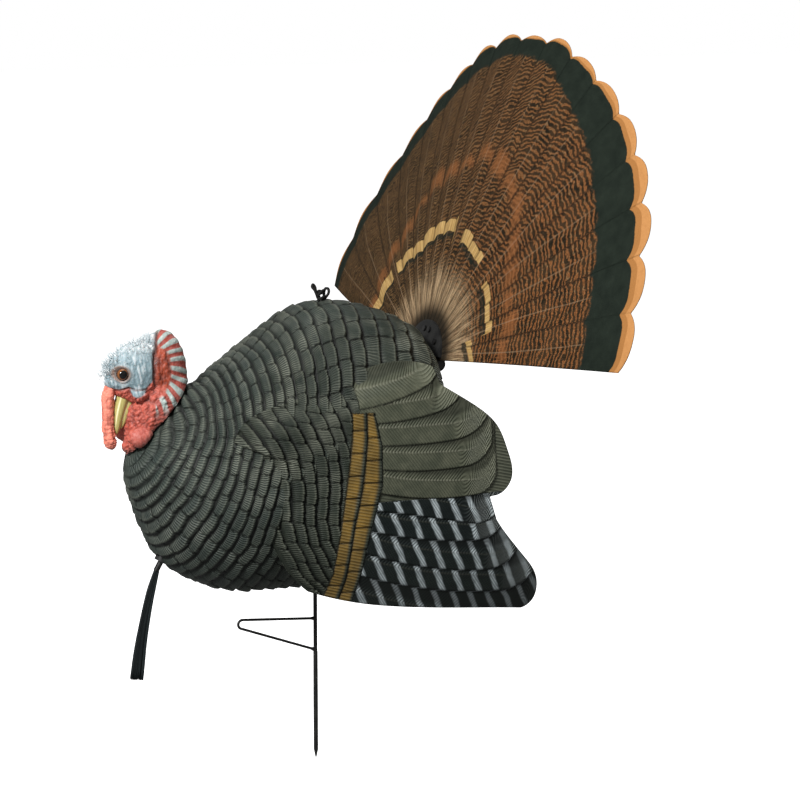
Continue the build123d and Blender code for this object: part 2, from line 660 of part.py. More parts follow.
def make_fan_hub(ribs):
    """The barrel on the pivot and the plate behind the ribs."""
    with BuildPart() as hub:
        with BuildSketch(on_pivot(-BARREL_HALF)):
            Circle(BARREL_RADIUS)
        extrude(amount=2 * BARREL_HALF)
        with BuildSketch(fan_plane):
            with Locations((0, HUB_WEB_HIGH / 2)):
                Rectangle(2 * BARREL_HALF, HUB_WEB_HIGH)
        extrude(amount=HUB_HIGH + 1)
        with BuildSketch(fan_plane.offset(HUB_LOW)):
            Circle(HUB_PLATE_RADIUS)
            with Locations((0, HUB_PLATE_LOW - HUB_PLATE_RADIUS)):
                Rectangle(3 * HUB_PLATE_RADIUS, 2 * HUB_PLATE_RADIUS, mode=Mode.SUBTRACT)
            with Locations(*CLAMP_HOLES):
                Circle(SCREW_RADIUS - 0.1, mode=Mode.SUBTRACT)
        extrude(amount=HUB_HIGH + 1 - HUB_LOW)
        add(dome(HUB_HIGH), mode=Mode.INTERSECT)
        with BuildSketch(on_pivot(-BARREL_HALF)):
            Circle(BOLT_RADIUS + RUN_GAP)
        extrude(amount=2 * BARREL_HALF, mode=Mode.SUBTRACT)
        add(ribs, mode=Mode.SUBTRACT)
    return hub.part


def make_clamp_plate():
    """The plate in front of the fabric."""
    with BuildPart() as plate:
        with BuildSketch(fan_plane):
            Circle(CLAMP_PLATE_RADIUS)
            with Locations((0, CLAMP_PLATE_LOW - CLAMP_PLATE_RADIUS)):
                Rectangle(3 * CLAMP_PLATE_RADIUS, 2 * CLAMP_PLATE_RADIUS, mode=Mode.SUBTRACT)
            with Locations(*CLAMP_HOLES):
                Circle(SCREW_RADIUS, mode=Mode.SUBTRACT)
        extrude(amount=CLAMP_HIGH + 1)
        add(dome(CLAMP_HIGH), mode=Mode.INTERSECT)
        add(dome(CLAMP_LOW), mode=Mode.SUBTRACT)
    return plate.part


def make_clamp_screws():
    with BuildPart() as screws:
        for x, y in CLAMP_HOLES:
            with Locations(fan_plane * Location((x, y, HUB_LOW - 1.5))):
                Cylinder(SCREW_RADIUS - 0.15, CLAMP_HIGH + 1.5 - HUB_LOW, align=ABOVE)
            with Locations(fan_plane * Location((x, y, CLAMP_HIGH))):
                Cylinder(SCREW_HEAD_RADIUS, SCREW_HEAD, align=ABOVE)
    return screws.part


# ---------------------------------------------------------------- head
def make_head():
    """The head and neck as one soft moulding with a socket for the neck insert."""
    with BuildSketch(neck_plane.offset(NECK_STAND_OFF)) as base:
        Ellipse(HEAD_BASE[1], HEAD_BASE[0])
    sections = [base.sketch]
    centre_plane = Plane(origin=HEAD_CENTRE, x_dir=(0, -1, 0), z_dir=(0, 0, 1))
    for level in HEAD_LEVELS:
        narrowing = (1 - (level / HEAD_RADII[2]) ** 2) ** 0.5
        with BuildSketch(centre_plane.offset(level)) as section:
            Ellipse(HEAD_RADII[1] * narrowing, HEAD_RADII[0] * narrowing)
        sections.append(section.sketch)
    crown = Vertex(HEAD_CENTRE[0], 0, HEAD_CENTRE[2] + HEAD_RADII[2])
    beak_axis = Vector(*BEAK[1]) - Vector(*BEAK[0])
    with BuildPart() as head:
        loft([*sections, crown], ruled=True)
        with BuildLine() as snood:
            Spline(*SNOOD)
        with BuildSketch(Plane(origin=snood.wire() @ 0, z_dir=snood.wire() % 0)):
            Circle(SNOOD_RADIUS)
        sweep()
        with Locations(SNOOD[-1], SNOOD[0]):
            Sphere(SNOOD_RADIUS)
        with BuildSketch(Plane(origin=BEAK[0], z_dir=beak_axis)):
            Circle(BEAK_RADIUS)
        extrude(amount=beak_axis.length, taper=BEAK_TAPER)
        with Locations(*((WATTLE[0], side * WATTLE[1], WATTLE[2]) for side in (-1, 1))):
            Sphere(WATTLE_RADIUS)
        split(bisect_by=neck_plane.offset(NECK_STAND_OFF), keep=Keep.TOP)
        with BuildSketch(neck_plane):
            Circle(STEM_RADIUS + GLUE_GAP)
        extrude(amount=STEM_LENGTH + 3, mode=Mode.SUBTRACT)
        with Locations(*((EYES[0], side * EYES[1], EYES[2]) for side in (-1, 1))):
            Sphere(EYE_RADIUS + GLUE_GAP, mode=Mode.SUBTRACT)
    return head.part


def make_eye(side):
    with BuildPart() as eye:
        with Locations((EYES[0], side * EYES[1], EYES[2])):
            Sphere(EYE_RADIUS)
    return eye.part


def make_neck_insert():
    """The plug that turns in the neck ring, with a stem bonded up into the head."""
    with BuildPart() as insert:
        with BuildSketch(neck_plane.offset(-WALL - PLUG_BELOW)):
            Circle(NECK_BORE_RADIUS - RUN_GAP)
        extrude(amount=WALL + PLUG_BELOW + NECK_STAND_OFF - GLUE_GAP)
        with BuildSketch(neck_plane):
            Circle(STEM_RADIUS)
        extrude(amount=STEM_LENGTH)
        with BuildSketch(neck_plane.offset(-WALL - PLUG_BELOW)):
            Circle(NECK_SCREW_RADIUS + RUN_GAP)
        extrude(amount=NECK_SCREW_LENGTH, mode=Mode.SUBTRACT)
    return insert.part


def make_neck_washer():
    with BuildPart() as washer:
        with BuildSketch(neck_plane.offset(-WALL - 4.1)):
            Circle(NECK_HOLE_RADIUS + 1)
            Circle(BOLT_RADIUS, mode=Mode.SUBTRACT)
        extrude(amount=NECK_WASHER)
    return washer.part


def make_neck_screw():
    with BuildPart() as screw:
        with BuildSketch(neck_plane.offset(-WALL - 7.1)):
            Circle(NECK_SCREW_HEAD[0])
        extrude(amount=NECK_SCREW_HEAD[1])
        with BuildSketch(neck_plane.offset(-WALL - 5)):
            Circle(NECK_SCREW_RADIUS)
        extrude(amount=NECK_SCREW_LENGTH)
    return screw.part


# ---------------------------------------------------------------- beard
def make_beard_ferrule():
    """The crimped eye that hangs the beard on its pin."""
    with BuildPart() as ferrule:
        with Locations(Location(BEARD_ROOT, (90, 0, 0))):
            Cylinder(FERRULE_RADIUS, FERRULE_EYE_WIDTH)
        with BuildSketch(beard_cup_plane):
            Circle(FERRULE_RADIUS)
        extrude(amount=FERRULE_LENGTH)
        with Locations(Location(BEARD_ROOT, (90, 0, 0))):
            Cylinder(BEARD_PIN_RADIUS + RUN_GAP, 20, mode=Mode.SUBTRACT)
    return ferrule.part


def make_beard_fibres():
    sections = []
    with BuildSketch(beard_cup_plane.offset(FERRULE_LENGTH + GLUE_GAP)) as root:
        Ellipse(BEARD_WIDTHS[0][1] / 2, BEARD_WIDTHS[0][0] / 2)
    sections.append(root.sketch)
    for index in range(1, len(BEARD_PATH)):
        along = Vector(*BEARD_PATH[index]) - Vector(*BEARD_PATH[index - 1])
        with BuildSketch(Plane(origin=BEARD_PATH[index], x_dir=(0, 1, 0), z_dir=along)) as section:
            Ellipse(BEARD_WIDTHS[index][1] / 2, BEARD_WIDTHS[index][0] / 2)
        sections.append(section.sketch)
    with BuildPart() as fibres:
        loft(sections)
    return fibres.part


def main():
    save(make_ground_stake(), "ground_stake")
    save(make_foot_step(), "foot_step")

    left, right, torso = make_shells()
    torso_inner = torso_form(WALL + GLUE_GAP)
    save(left, "body_shell_left")
    save(right, "body_shell_right")
    wing = make_wing(torso_form(-GLUE_GAP))
    save(wing, "wing_left")
    save(mirror(wing, about=Plane.XZ), "wing_right")
    save(make_wing_screws(torso_form(WALL)), "wing_screws")
    save(make_belly_plate(), "belly_plate")
    save(make_belly_screws(), "belly_screws")
    save(make_stake_tube(), "stake_tube")
    save(make_top_block(torso_inner), "top_block")
    back = torso.find_intersection_points(Axis((CORD_HOLE_X, 0, 200), (0, 0, 1)))
    save(make_cord(max(point.Z for point, _ in back)), "retaining_cord")
    save(make_neck_ring(), "neck_ring")
    save(make_beard_socket(), "beard_socket")
    save(make_beard_pin(), "beard_pin")
    save(make_fan_bracket(), "fan_bracket")
    save(make_bracket_screws(), "bracket_screws")
    save(make_pivot_bolt(), "pivot_bolt")
    save(make_friction_washers(), "friction_washers")
    save(make_wing_nut(), "wing_nut")

    ribs = make_fan_ribs()
    save(ribs, "fan_ribs")
    save(make_fan_hub(ribs), "fan_hub")
    save(make_fan_fabric(), "fan_fabric")
    save(make_clamp_plate(), "clamp_plate")
    save(make_clamp_screws(), "clamp_screws")

    save(make_head(), "head")
    save(make_eye(-1), "left_eye")
    save(make_eye(1), "right_eye")
    save(make_neck_insert(), "neck_insert")
    save(make_neck_washer(), "neck_washer")
    save(make_neck_screw(), "neck_screw")
    save(make_beard_ferrule(), "beard_ferrule")
    save(make_beard_fibres(), "beard_fibres")


main()
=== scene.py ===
"""Looks for the turkey decoy: moulded feather relief on the body and wings, a printed tail fan,
a painted head, a fibre beard, a knotted cord and plain hardware, all riding on the CAD bodies."""

import math

import bmesh
import bpy
import numpy as np
from mathutils import Matrix, Vector
from mathutils.bvhtree import BVHTree


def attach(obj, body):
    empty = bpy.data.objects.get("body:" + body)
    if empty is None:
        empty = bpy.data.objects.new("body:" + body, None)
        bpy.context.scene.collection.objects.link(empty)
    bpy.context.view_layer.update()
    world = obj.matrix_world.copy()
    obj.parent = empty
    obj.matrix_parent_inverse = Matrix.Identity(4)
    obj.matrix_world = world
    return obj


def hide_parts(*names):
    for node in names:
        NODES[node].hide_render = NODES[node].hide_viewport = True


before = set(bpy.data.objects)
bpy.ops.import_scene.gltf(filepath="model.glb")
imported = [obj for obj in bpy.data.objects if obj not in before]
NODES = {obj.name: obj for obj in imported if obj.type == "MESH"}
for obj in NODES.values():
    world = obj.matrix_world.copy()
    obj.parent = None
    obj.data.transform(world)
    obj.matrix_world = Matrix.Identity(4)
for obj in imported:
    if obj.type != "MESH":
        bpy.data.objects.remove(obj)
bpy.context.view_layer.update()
MM = 0.001
TAU = 2 * math.pi
LIFT = 8.5  # mm; heights in this script are measured from this far above the ground
rng = np.random.default_rng(7)


# ---------------------------------------------------------------- numeric helpers
def smooth(x, low, high):
    """0 below low, 1 above high, eased between."""
    t = np.clip((x - low) / (high - low), 0, 1)
    return t * t * (3 - 2 * t)


def ridge(distance, width):
    """1 on a line, falling off over width on both sides."""
    return np.exp(-((distance / width) ** 2))


def lattice(ix, iy, iz, seed):
    """A repeatable pseudo-random number in 0..1 for each integer lattice point."""
    h = (ix * 374761393 + iy * 668265263 + iz * 1274126177 + seed * 362437) & 0xFFFFFFFF
    h = ((h ^ (h >> 13)) * 1274126177) & 0xFFFFFFFF
    h = (h ^ (h >> 16)) & 0xFFFFFF
    return h / float(0xFFFFFF)


def noise3(points, size, seed=0):
    """Smooth value noise in -1..1; size is the feature size in the points' units."""
    q = np.asarray(points, float) / size
    base = np.floor(q).astype(np.int64)
    f = q - base
    f = f * f * (3 - 2 * f)
    total = 0
    for dx in (0, 1):
        for dy in (0, 1):
            for dz in (0, 1):
                w = (f[..., 0] if dx else 1 - f[..., 0]) * (f[..., 1] if dy else 1 - f[..., 1])
                w = w * (f[..., 2] if dz else 1 - f[..., 2])
                total = total + w * lattice(base[..., 0] + dx, base[..., 1] + dy, base[..., 2] + dz, seed)
    return 2 * total - 1


def fbm(points, size, seed=0, octaves=3):
    """Several sizes of noise3 added up."""
    return sum(noise3(points, size / 2**k, seed + 11 * k) / 2**k for k in range(octaves))


def hash1(a, b, seed=0):
    """A repeatable number in 0..1 for each pair of whole numbers."""
    a, b = (np.asarray(v).astype(np.int64) for v in (a, b))
    return lattice(a, b, np.zeros_like(a), seed)


# ---------------------------------------------------------------- mesh helpers
def link(name, data):
    """A new object in the scene."""
    obj = bpy.data.objects.new(name, data)
    bpy.context.scene.collection.objects.link(obj)
    return obj


def set_attribute(mesh, key, values):
    """Stores one number or one colour a vertex."""
    values = np.asarray(values, np.float32)
    if values.ndim == 2:
        layer = mesh.attributes.new(key, "FLOAT_COLOR", "POINT")
        layer.data.foreach_set("color", np.c_[values, np.ones(len(values), np.float32)].ravel())
    else:
        layer = mesh.attributes.new(key, "FLOAT", "POINT")
        layer.data.foreach_set("value", values)


def new_mesh(name, verts, faces, attributes):
    """A smooth mesh object from millimetre vertices and faces of three or four corners."""
    mesh = bpy.data.meshes.new(name)
    mesh.vertices.add(len(verts))
    lifted = (np.asarray(verts, float) + [0, 0, LIFT]) * MM
    mesh.vertices.foreach_set("co", lifted.astype(np.float32).ravel())
    sizes = sorted({len(f) for f in faces})
    faces = [np.array([f for f in faces if len(f) == size]) for size in sizes]
    loops = np.concatenate([f.ravel() for f in faces])
    totals = np.concatenate([np.full(len(f), f.shape[1]) for f in faces])
    starts = np.concatenate([[0], np.cumsum(totals)[:-1]])
    mesh.loops.add(len(loops))
    mesh.loops.foreach_set("vertex_index", loops.astype(np.int32))
    mesh.polygons.add(len(totals))
    mesh.polygons.foreach_set("loop_start", starts.astype(np.int32))
    mesh.polygons.foreach_set("loop_total", totals.astype(np.int32))
    mesh.polygons.foreach_set("use_smooth", np.ones(len(totals), bool))
    mesh.update(calc_edges=True)
    mesh.validate()
    for key, values in attributes.items():
        set_attribute(mesh, key, values)
    bm = bmesh.new()
    bm.from_mesh(mesh)
    bmesh.ops.remove_doubles(bm, verts=bm.verts, dist=1e-7)
    bmesh.ops.recalc_face_normals(bm, faces=bm.faces)
    bm.to_mesh(mesh)
    bm.free()
    return link(name, mesh)


def dress(obj, material, body, slot, *nodes):
    """Paints a piece, hangs it on a body and hides the CAD nodes it stands in for."""
    obj.data.materials.append(material)
    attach(obj, body)
    if nodes:
        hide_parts(*nodes)


def grid_faces(rows, columns, start=0, close_columns=False, flip=False):
    """Four-cornered faces of a grid of vertices; close_columns joins the last column to the first."""
    across = columns if close_columns else columns - 1
    i, j = np.meshgrid(np.arange(rows - 1), np.arange(across), indexing="ij")
    k = (j + 1) % columns
    quads = np.stack([i * columns + j, i * columns + k, (i + 1) * columns + k, (i + 1) * columns + j], -1)
    quads = quads.reshape(-1, 4) + start
    return quads[:, ::-1] if flip else quads


def node_tree_bvh(*names):
    """CAD nodes as one tree for casting rays, in metres, without the lift."""
    verts, polys = [], []
    for name in names:
        mesh = NODES[name].data
        offset = len(verts)
        verts += [v.co - Vector((0, 0, LIFT * MM)) for v in mesh.vertices]
        polys += [[offset + i for i in p.vertices] for p in mesh.polygons]
    return BVHTree.FromPolygons(verts, polys)


# ---------------------------------------------------------------- material helper
class Mat:
    """A small builder for node materials."""

    def __init__(self, name, rough=0.6, **inputs):
        self.mat = bpy.data.materials.new(name)
        self.mat.use_nodes = True
        self.tree = self.mat.node_tree
        self.bsdf = self.tree.nodes["Principled BSDF"]
        self.bsdf.inputs["Roughness"].default_value = rough
        self.bsdf.inputs["Specular IOR Level"].default_value = 0.2
        for key, value in inputs.items():
            self.bsdf.inputs[key.replace("_", " ")].default_value = value
        self.relief = None

    def node(self, kind, **props):
        n = self.tree.nodes.new(kind)
        for key, value in props.items():
            setattr(n, key, value)
        return n

    def plug(self, value, socket):
        if isinstance(value, bpy.types.NodeSocket):
            self.tree.links.new(value, socket)
        elif value is not None:
            if isinstance(value, (tuple, list)) and len(value) == 3 and socket.type == "RGBA":
                value = (*value, 1)
            socket.default_value = value

    def attr(self, name):
        return self.node("ShaderNodeAttribute", attribute_name=name).outputs["Fac"]

    def attr_color(self, name):
        return self.node("ShaderNodeAttribute", attribute_name=name).outputs["Color"]

    def position(self):
        return self.node("ShaderNodeTexCoord").outputs["Object"]

    def math(self, op, a, b=None, c=None, clamp=False):
        n = self.node("ShaderNodeMath", operation=op, use_clamp=clamp)
        self.plug(a, n.inputs[0])
        self.plug(b, n.inputs[1])
        if c is not None:
            self.plug(c, n.inputs[2])
        return n.outputs[0]

    def xyz(self, x=0.0, y=0.0, z=0.0):
        n = self.node("ShaderNodeCombineXYZ")
        for value, socket in zip((x, y, z), n.inputs):
            self.plug(value, socket)
        return n.outputs[0]

    def split(self, vector):
        n = self.node("ShaderNodeSeparateXYZ")
        self.plug(vector, n.inputs[0])
        return n.outputs

    def stretch(self, vector, scale):
        n = self.node("ShaderNodeMapping")
        self.plug(vector, n.inputs["Vector"])
        n.inputs["Scale"].default_value = scale
        return n.outputs[0]

    def noise(self, scale, detail=3, vector=None, rough=0.55):
        n = self.node("ShaderNodeTexNoise")
        self.plug(vector if vector is not None else self.position(), n.inputs["Vector"])
        n.inputs["Scale"].default_value = scale
        n.inputs["Detail"].default_value = detail
        n.inputs["Roughness"].default_value = rough
        return n.outputs["Fac"]

    def voronoi(self, scale):
        n = self.node("ShaderNodeTexVoronoi")
        self.plug(self.position(), n.inputs["Vector"])
        n.inputs["Scale"].default_value = scale
        return n.outputs["Distance"]

    def step(self, value, low, high, invert=False):
        n = self.node("ShaderNodeMapRange", interpolation_type="SMOOTHSTEP")
        self.plug(value, n.inputs["Value"])
        self.plug(low, n.inputs["From Min"])
        self.plug(high, n.inputs["From Max"])
        n.inputs["To Min"].default_value = 1.0 if invert else 0.0
        n.inputs["To Max"].default_value = 0.0 if invert else 1.0
        return n.outputs["Result"]

    def mix(self, factor, a, b):
        n = self.node("ShaderNodeMix", data_type="RGBA")
        self.plug(factor, n.inputs[0])
        self.plug(a, n.inputs[6])
        self.plug(b, n.inputs[7])
        return n.outputs[2]

    def wave(self, phase):
        """A sine in 0..1 of a phase in cycles."""
        s = self.math("SINE", self.math("MULTIPLY", phase, TAU))
        return self.math("MULTIPLY_ADD", s, 0.5, 0.5)

    def mul(self, a, b):
        return self.math("MULTIPLY", a, b)

    def minus(self, a, b):
        return self.math("SUBTRACT", a, b)

    def power(self, a, b):
        return self.math("POWER", a, b)

    def scaled(self, a, factor, offset, clamp=False):
        return self.math("MULTIPLY_ADD", a, factor, offset, clamp=clamp)

    def layers(self, base, *coats):
        """Coats of (mask, colour) painted over the base in order."""
        for mask, color in coats:
            base = self.mix(mask, base, color)
        return base

    def add(self, a, b):
        return self.math("ADD", a, b)

    def color(self, value):
        self.plug(value, self.bsdf.inputs["Base Color"])

    def roughness(self, value):
        self.plug(value, self.bsdf.inputs["Roughness"])

    def bump(self, height, distance):
        n = self.node("ShaderNodeBump")
        self.plug(height, n.inputs["Height"])
        n.inputs["Distance"].default_value = distance
        n.inputs["Strength"].default_value = 1.0
        if self.relief is not None:
            self.plug(self.relief, n.inputs["Normal"])
        self.relief = n.outputs["Normal"]
        self.plug(self.relief, self.bsdf.inputs["Normal"])


def simple_material(name, dark, light, rough, grain=900, bump=0.00015, metallic=0.0, wear=None):
    """Plain moulded or coated surface: two close tones, fine grain and uneven gloss."""
    m = Mat(name, rough, Metallic=metallic)
    cloud = m.noise(60, 4)
    fine = m.noise(grain, 3)
    tone = m.mix(m.step(cloud, 0.3, 0.7), dark, light)
    if wear is not None:
        tone = m.mix(m.mul(m.step(m.noise(220, 5), 0.62, 0.75), 0.5), tone, wear)
    m.color(m.mix(m.mul(fine, 0.25), tone, light))
    m.roughness(m.scaled(cloud, 0.25, rough - 0.12))
    m.bump(fine, bump)
    return m.mat


# ---------------------------------------------------------------- feather tiles
BARBS_PER_PHASE = 0.64


def tile_relief(p, q, width, pitch, seed, rise=2.6, groove=1.9):
    """Overlapping brick-like feathers. p counts rows, q counts tiles along a row, and width and pitch
    are the tile's size in mm. Returns height, a groove mask that also sets the painted shade in the grooves,
    barb phase, random tone and a mask of painted highlight along each raised trailing edge."""
    row = np.floor(p)
    t = p - row
    u = q + hash1(row, row * 0, seed)
    column = np.floor(u)
    s = u - column
    r = hash1(row, column, seed + 5)
    r2 = hash1(row, column, seed + 9)
    edge_s = np.minimum(s, 1 - s) * width
    corner = np.abs(2 * s - 1) ** 4
    end_t = 0.95 - 0.12 * corner - 0.13 * r
    beyond = t > end_t
    edge_t = np.abs(end_t - t) * pitch
    edge_start = t * pitch
    body = np.clip(t / end_t, 0, 1)
    lateral = 2 * s - 1
    h = rise * (body**0.8 - 0.5) + 0.5 * (r2 - 0.5)
    h = h + 0.5 * (r - 0.5) * lateral + 0.45 * (1 - lateral**2)
    h = np.where(beyond, -rise * 0.62, h)
    # Groove mask: the tile sides, the start of each row and the gap past each trailing edge; the materials
    # paint shade there.
    side = 0.75 * ridge(edge_s, 0.8)
    start = ridge(edge_start, 1.9)
    end = np.where(beyond, 1.0, 0.55 * ridge(edge_t, 0.7))
    cut = np.clip(np.maximum(np.maximum(side, start), end), 0, 1)
    h = h - groove * np.maximum(side * 0.8, start)
    phase = (s - 0.5) * width * (1.15 - 0.35 * t) / 1.55 + 0.12 * np.sin(TAU * (t * 1.3 + r))
    # A band just inside each trailing edge that the materials paint lighter: a painted highlight on the
    # raised edge.
    dry = np.clip(1 - np.abs(edge_t - 1.4) / 1.8, 0, 1) * ~beyond
    return h, cut, phase, r, dry


# ---------------------------------------------------------------- torso
CORE = np.array([-30.0, 0.0, 215.0])
POLE = np.array([-0.985, 0.0, 0.1726])
LEFT = np.array([0.0, -1.0, 0.0])
TOP = np.cross(POLE, LEFT)
THETA_STEPS, PHI_STEPS = 340, 280
BODY_LENGTH_RADIUS, BODY_GIRTH_RADIUS = 150, 140  # mm; sizes of a feather are worked out on these


def row_edges():
    """Polar angles of the feather rows: close together at the neck, wider over the back."""
    edges, angle = [0.0], 0.0
    while angle < math.pi:
        degrees = math.degrees(angle)
        angle += math.radians(np.interp(degrees, (20, 60, 95, 150), (4.0, 5.0, 5.6, 7.6)))
        edges.append(angle)
    return np.array(edges)


def torso_surface():
    """The shells' outside radius seen from the core, left half, with openings filled and edges eased."""
    shells = node_tree_bvh("body_shell_left", "body_shell_right")
    theta = np.linspace(0, math.pi, THETA_STEPS)
    phi = np.linspace(0, math.pi, PHI_STEPS)
    radius = np.full((THETA_STEPS, PHI_STEPS), np.nan)
    core = Vector(CORE * MM)
    reach = 0.5
    for i, th in enumerate(theta):
        for j, ph in enumerate(phi):
            out = math.cos(th) * POLE + math.sin(th) * (math.cos(ph) * TOP + math.sin(ph) * LEFT)
            out = Vector(out)
            side = core + Vector((0, -0.0002, 0))
            hit, _, _, distance = shells.ray_cast(side + out * reach, -out, reach - 0.08)
            if hit is not None:
                radius[i, j] = (reach - distance) / MM
    spread = np.nanmedian(radius)
    holes = np.isnan(radius)
    level = blur(np.where(holes, spread, radius), 60)
    holes |= radius < level - 9
    radius[holes] = level[holes]
    for _ in range(300):
        near = blur(radius, 1)
        radius[holes] = near[holes]
    return theta, phi, blur(radius, 26)


def blur(a, passes):
    a = a.copy()
    for _ in range(passes):
        b = np.pad(a, ((0, 0), (1, 1)), mode="reflect")
        a = 0.25 * b[:, :-2] + 0.5 * b[:, 1:-1] + 0.25 * b[:, 2:]
        b = np.pad(a, ((1, 1), (0, 0)), mode="reflect")
        a = 0.25 * b[:-2] + 0.5 * b[1:-1] + 0.25 * b[2:]
    return a


def make_torso():
    """The two halves of the body: feather rows round a pole at the neck, closed along the seam."""
    theta, phi, radius = torso_surface()
    edges = row_edges()
    material = feather_material("body_feathers")
    for side, sign in (("left", 1), ("right", -1)):
        th, ph = np.meshgrid(theta, sign * phi, indexing="ij")
        ring = np.sin(th)[..., None]
        sideways = np.cos(ph)[..., None] * TOP + np.sin(ph)[..., None] * LEFT
        out = np.cos(th)[..., None] * POLE + ring * sideways
        base = CORE + out * radius[..., None]
        wander = 0.026 * noise3(base, 60.0, 3) + 0.009 * noise3(base, 20.0, 4)
        wavy = np.clip(th + wander * np.clip(np.sin(th) * 2, 0, 1), 0, math.pi)
        p = np.interp(wavy, edges, np.arange(len(edges)))
        row = np.floor(p).astype(int)
        last = len(edges) - 1
        middle = 0.5 * (edges[np.clip(row, 0, last - 1)] + edges[np.clip(row + 1, 0, last)])
        pitch = np.diff(edges)[np.clip(row, 0, last - 1)] * BODY_LENGTH_RADIUS
        around = TAU * BODY_GIRTH_RADIUS * np.maximum(np.sin(middle), 0.05)
        wanted = np.interp(np.degrees(middle), [15, 45, 80, 180], [17, 24, 27, 27])
        count = np.maximum(np.round(around / wanted), 6)
        off_seam = np.clip(1.9 - np.abs(np.abs(ph) / math.pi - 0.5) * 2.2, 0, 1)
        warped = ph + 0.05 * noise3(base, 45.0, 21) * off_seam
        q = (warped / TAU + 0.5) * count
        h, cut, phase, tone, dry = tile_relief(p, np.mod(q, count), around / count, pitch, 40)
        fade = smooth(th, 0.10, 0.34) * smooth(math.pi - th, 0.10, 0.3)
        h = h * fade + 0.5 * fbm(base, 16.0, 8)
        verts = (base + out * (h - 0.6)[..., None]).reshape(-1, 3)
        seam = np.abs(np.sin(ph)) < 1e-6
        verts[seam.ravel(), 1] = 0
        total = len(verts)
        quads = grid_faces(THETA_STEPS, PHI_STEPS, flip=sign < 0)
        starts = np.arange(THETA_STEPS) * PHI_STEPS
        rim = np.concatenate([starts, starts[::-1] + PHI_STEPS - 1])
        centre = np.array([[CORE[0], 0, CORE[2]]])
        verts = np.vstack([verts, centre])
        nxt = np.roll(rim, -1)
        caps = np.stack([rim, nxt, np.full(len(rim), total)], -1)
        if sign > 0:
            caps = caps[:, ::-1]
        # The low mask darkens the lower body in the materials: painted shade on the underside.
        values = {"cut": cut * fade, "ph": phase, "tone": tone, "dry": dry * fade,
                  "low": smooth(-base[..., 2], -230, -90), "front": smooth(-base[..., 0], 40, 150)}
        values = {key: np.append(value.ravel(), 0) for key, value in values.items()}
        obj = new_mesh(f"torso_feathers_{side}", verts, [*caps, *quads], values)
        normals = np.zeros(len(obj.data.polygons) * 3)
        obj.data.polygons.foreach_get("normal", normals)
        obj.data.polygons.foreach_set("use_smooth", np.abs(normals[1::3]) < 0.9999)
        dress(obj, material, "torso", "body_plastic", f"body_shell_{side}")


# Near-black painted shade for the feather grooves.
GROOVE_SHADE = (0.0045, 0.005, 0.0045)


def olive_feather(m, barbs, mottle, dark, light, grey, streak, highlight_share):
    """Olive-grey moulded plastic with painted highlights along the barbs, brighter in patches."""
    lit = m.mul(m.power(barbs, 2.0), m.scaled(m.noise(24, 2), 4.5, -2.0, clamp=True))
    lit = m.mul(lit, m.scaled(m.noise(7, 2), 3.0, -0.9, clamp=True))
    base = m.mix(m.attr("tone"), dark, light)
    base = m.mix(m.mul(m.step(mottle, 0.35, 0.75), 0.5), base, grey)
    # The second coat is the painted highlight along the barbs, in the streak colour.
    return base, (m.mul(lit, highlight_share), streak)


def feather_finish(m, base, barbs, mottle, cut_share, gloss, depth):
    """Painted shade in the grooves, uneven gloss and the relief of the barbs."""
    cut = m.attr("cut")
    m.color(m.mix(m.mul(cut, cut_share), base, GROOVE_SHADE))
    m.roughness(m.scaled(mottle, 0.25, gloss))
    m.bump(m.mul(barbs, m.minus(1.0, cut)), depth)
    m.bump(m.noise(500, 3), 0.0002)
    return m.mat


def feather_material(name):
    """Moulded olive-grey feathers: painted shade in the grooves, fine barbs and painted highlights along the
    raised tile edges.
    """
    m = Mat(name, 0.55)
    barbs = m.wave(m.mul(m.attr("ph"), BARBS_PER_PHASE))
    mottle = m.noise(70, 4)
    base, barb_highlights = olive_feather(
        m, barbs, mottle, (0.019, 0.026, 0.020), (0.037, 0.046, 0.036), (0.062, 0.069, 0.052),
        (0.40, 0.41, 0.33), 0.75)
    base = m.layers(
        base,
        (m.mul(m.step(m.noise(9, 3), 0.45, 0.7), 0.25), (0.034, 0.052, 0.050)),
        # Painted highlights along the barbs.
        barb_highlights,
        # Darker in the troughs between the barbs: painted shade.
        (m.scaled(barbs, -0.3, 0.3), (0.012, 0.015, 0.012)),
        # Lighter along the raised trailing edges: painted highlight.
        (m.mul(m.attr("dry"), 0.34), (0.22, 0.23, 0.175)),
        # Darker towards the bottom: painted shade on the underside.
        (m.mul(m.attr("low"), 0.55), (0.020, 0.026, 0.020)),
        (m.mul(m.attr("front"), 0.14), (0.10, 0.13, 0.125)),
    )
    return feather_finish(m, base, barbs, mottle, 0.93, 0.40, 0.0009)


# ---------------------------------------------------------------- wings
WING_HUB = np.array([40.0, 190.0])
WING_TURNS, WING_RINGS = 860, 104
# Long feathers from the top down: lower edge as (x, z) points, tip x, length and rise of the tip.
SECONDARIES = (
    (((4, 286), (38, 292), (83, 307)), 106, 25, 14),
    (((6, 270), (57, 272), (92, 278)), 122, 32, 18),
    (((8, 247), (67, 245), (110, 247)), 150, 44, 26),
    (((15, 222), (86, 216), (128, 218)), 154, 34, 28),
    (((15, 197), (66, 187), (140, 186)), 158, 24, 26),
)
PRIMARIES = (
    (((5, 179), (43, 172), (110, 158)), 158, 34, 22),
    (((0, 158), (60, 143), (139, 134)), 168, 36, 24),
    (((-8, 136), (60, 113), (153, 99)), 186, 40, 26),
    (((-15, 112), (70, 86), (168, 73)), 208, 40, 24),
    (((-30, 80), (90, 40), (200, 20)), 240, 30, 20),
)
FRONT_Z = (60, 88, 107, 146, 174, 210, 240, 300, 330)
FRONT_X = (-40, -51, -69, -90, -98, -101, -108, -136, -156)
COVERT_Z = (60, 93, 162, 204, 255, 285)
COVERT_LEFT = (-42, -34, -23, -17, -9, -7)
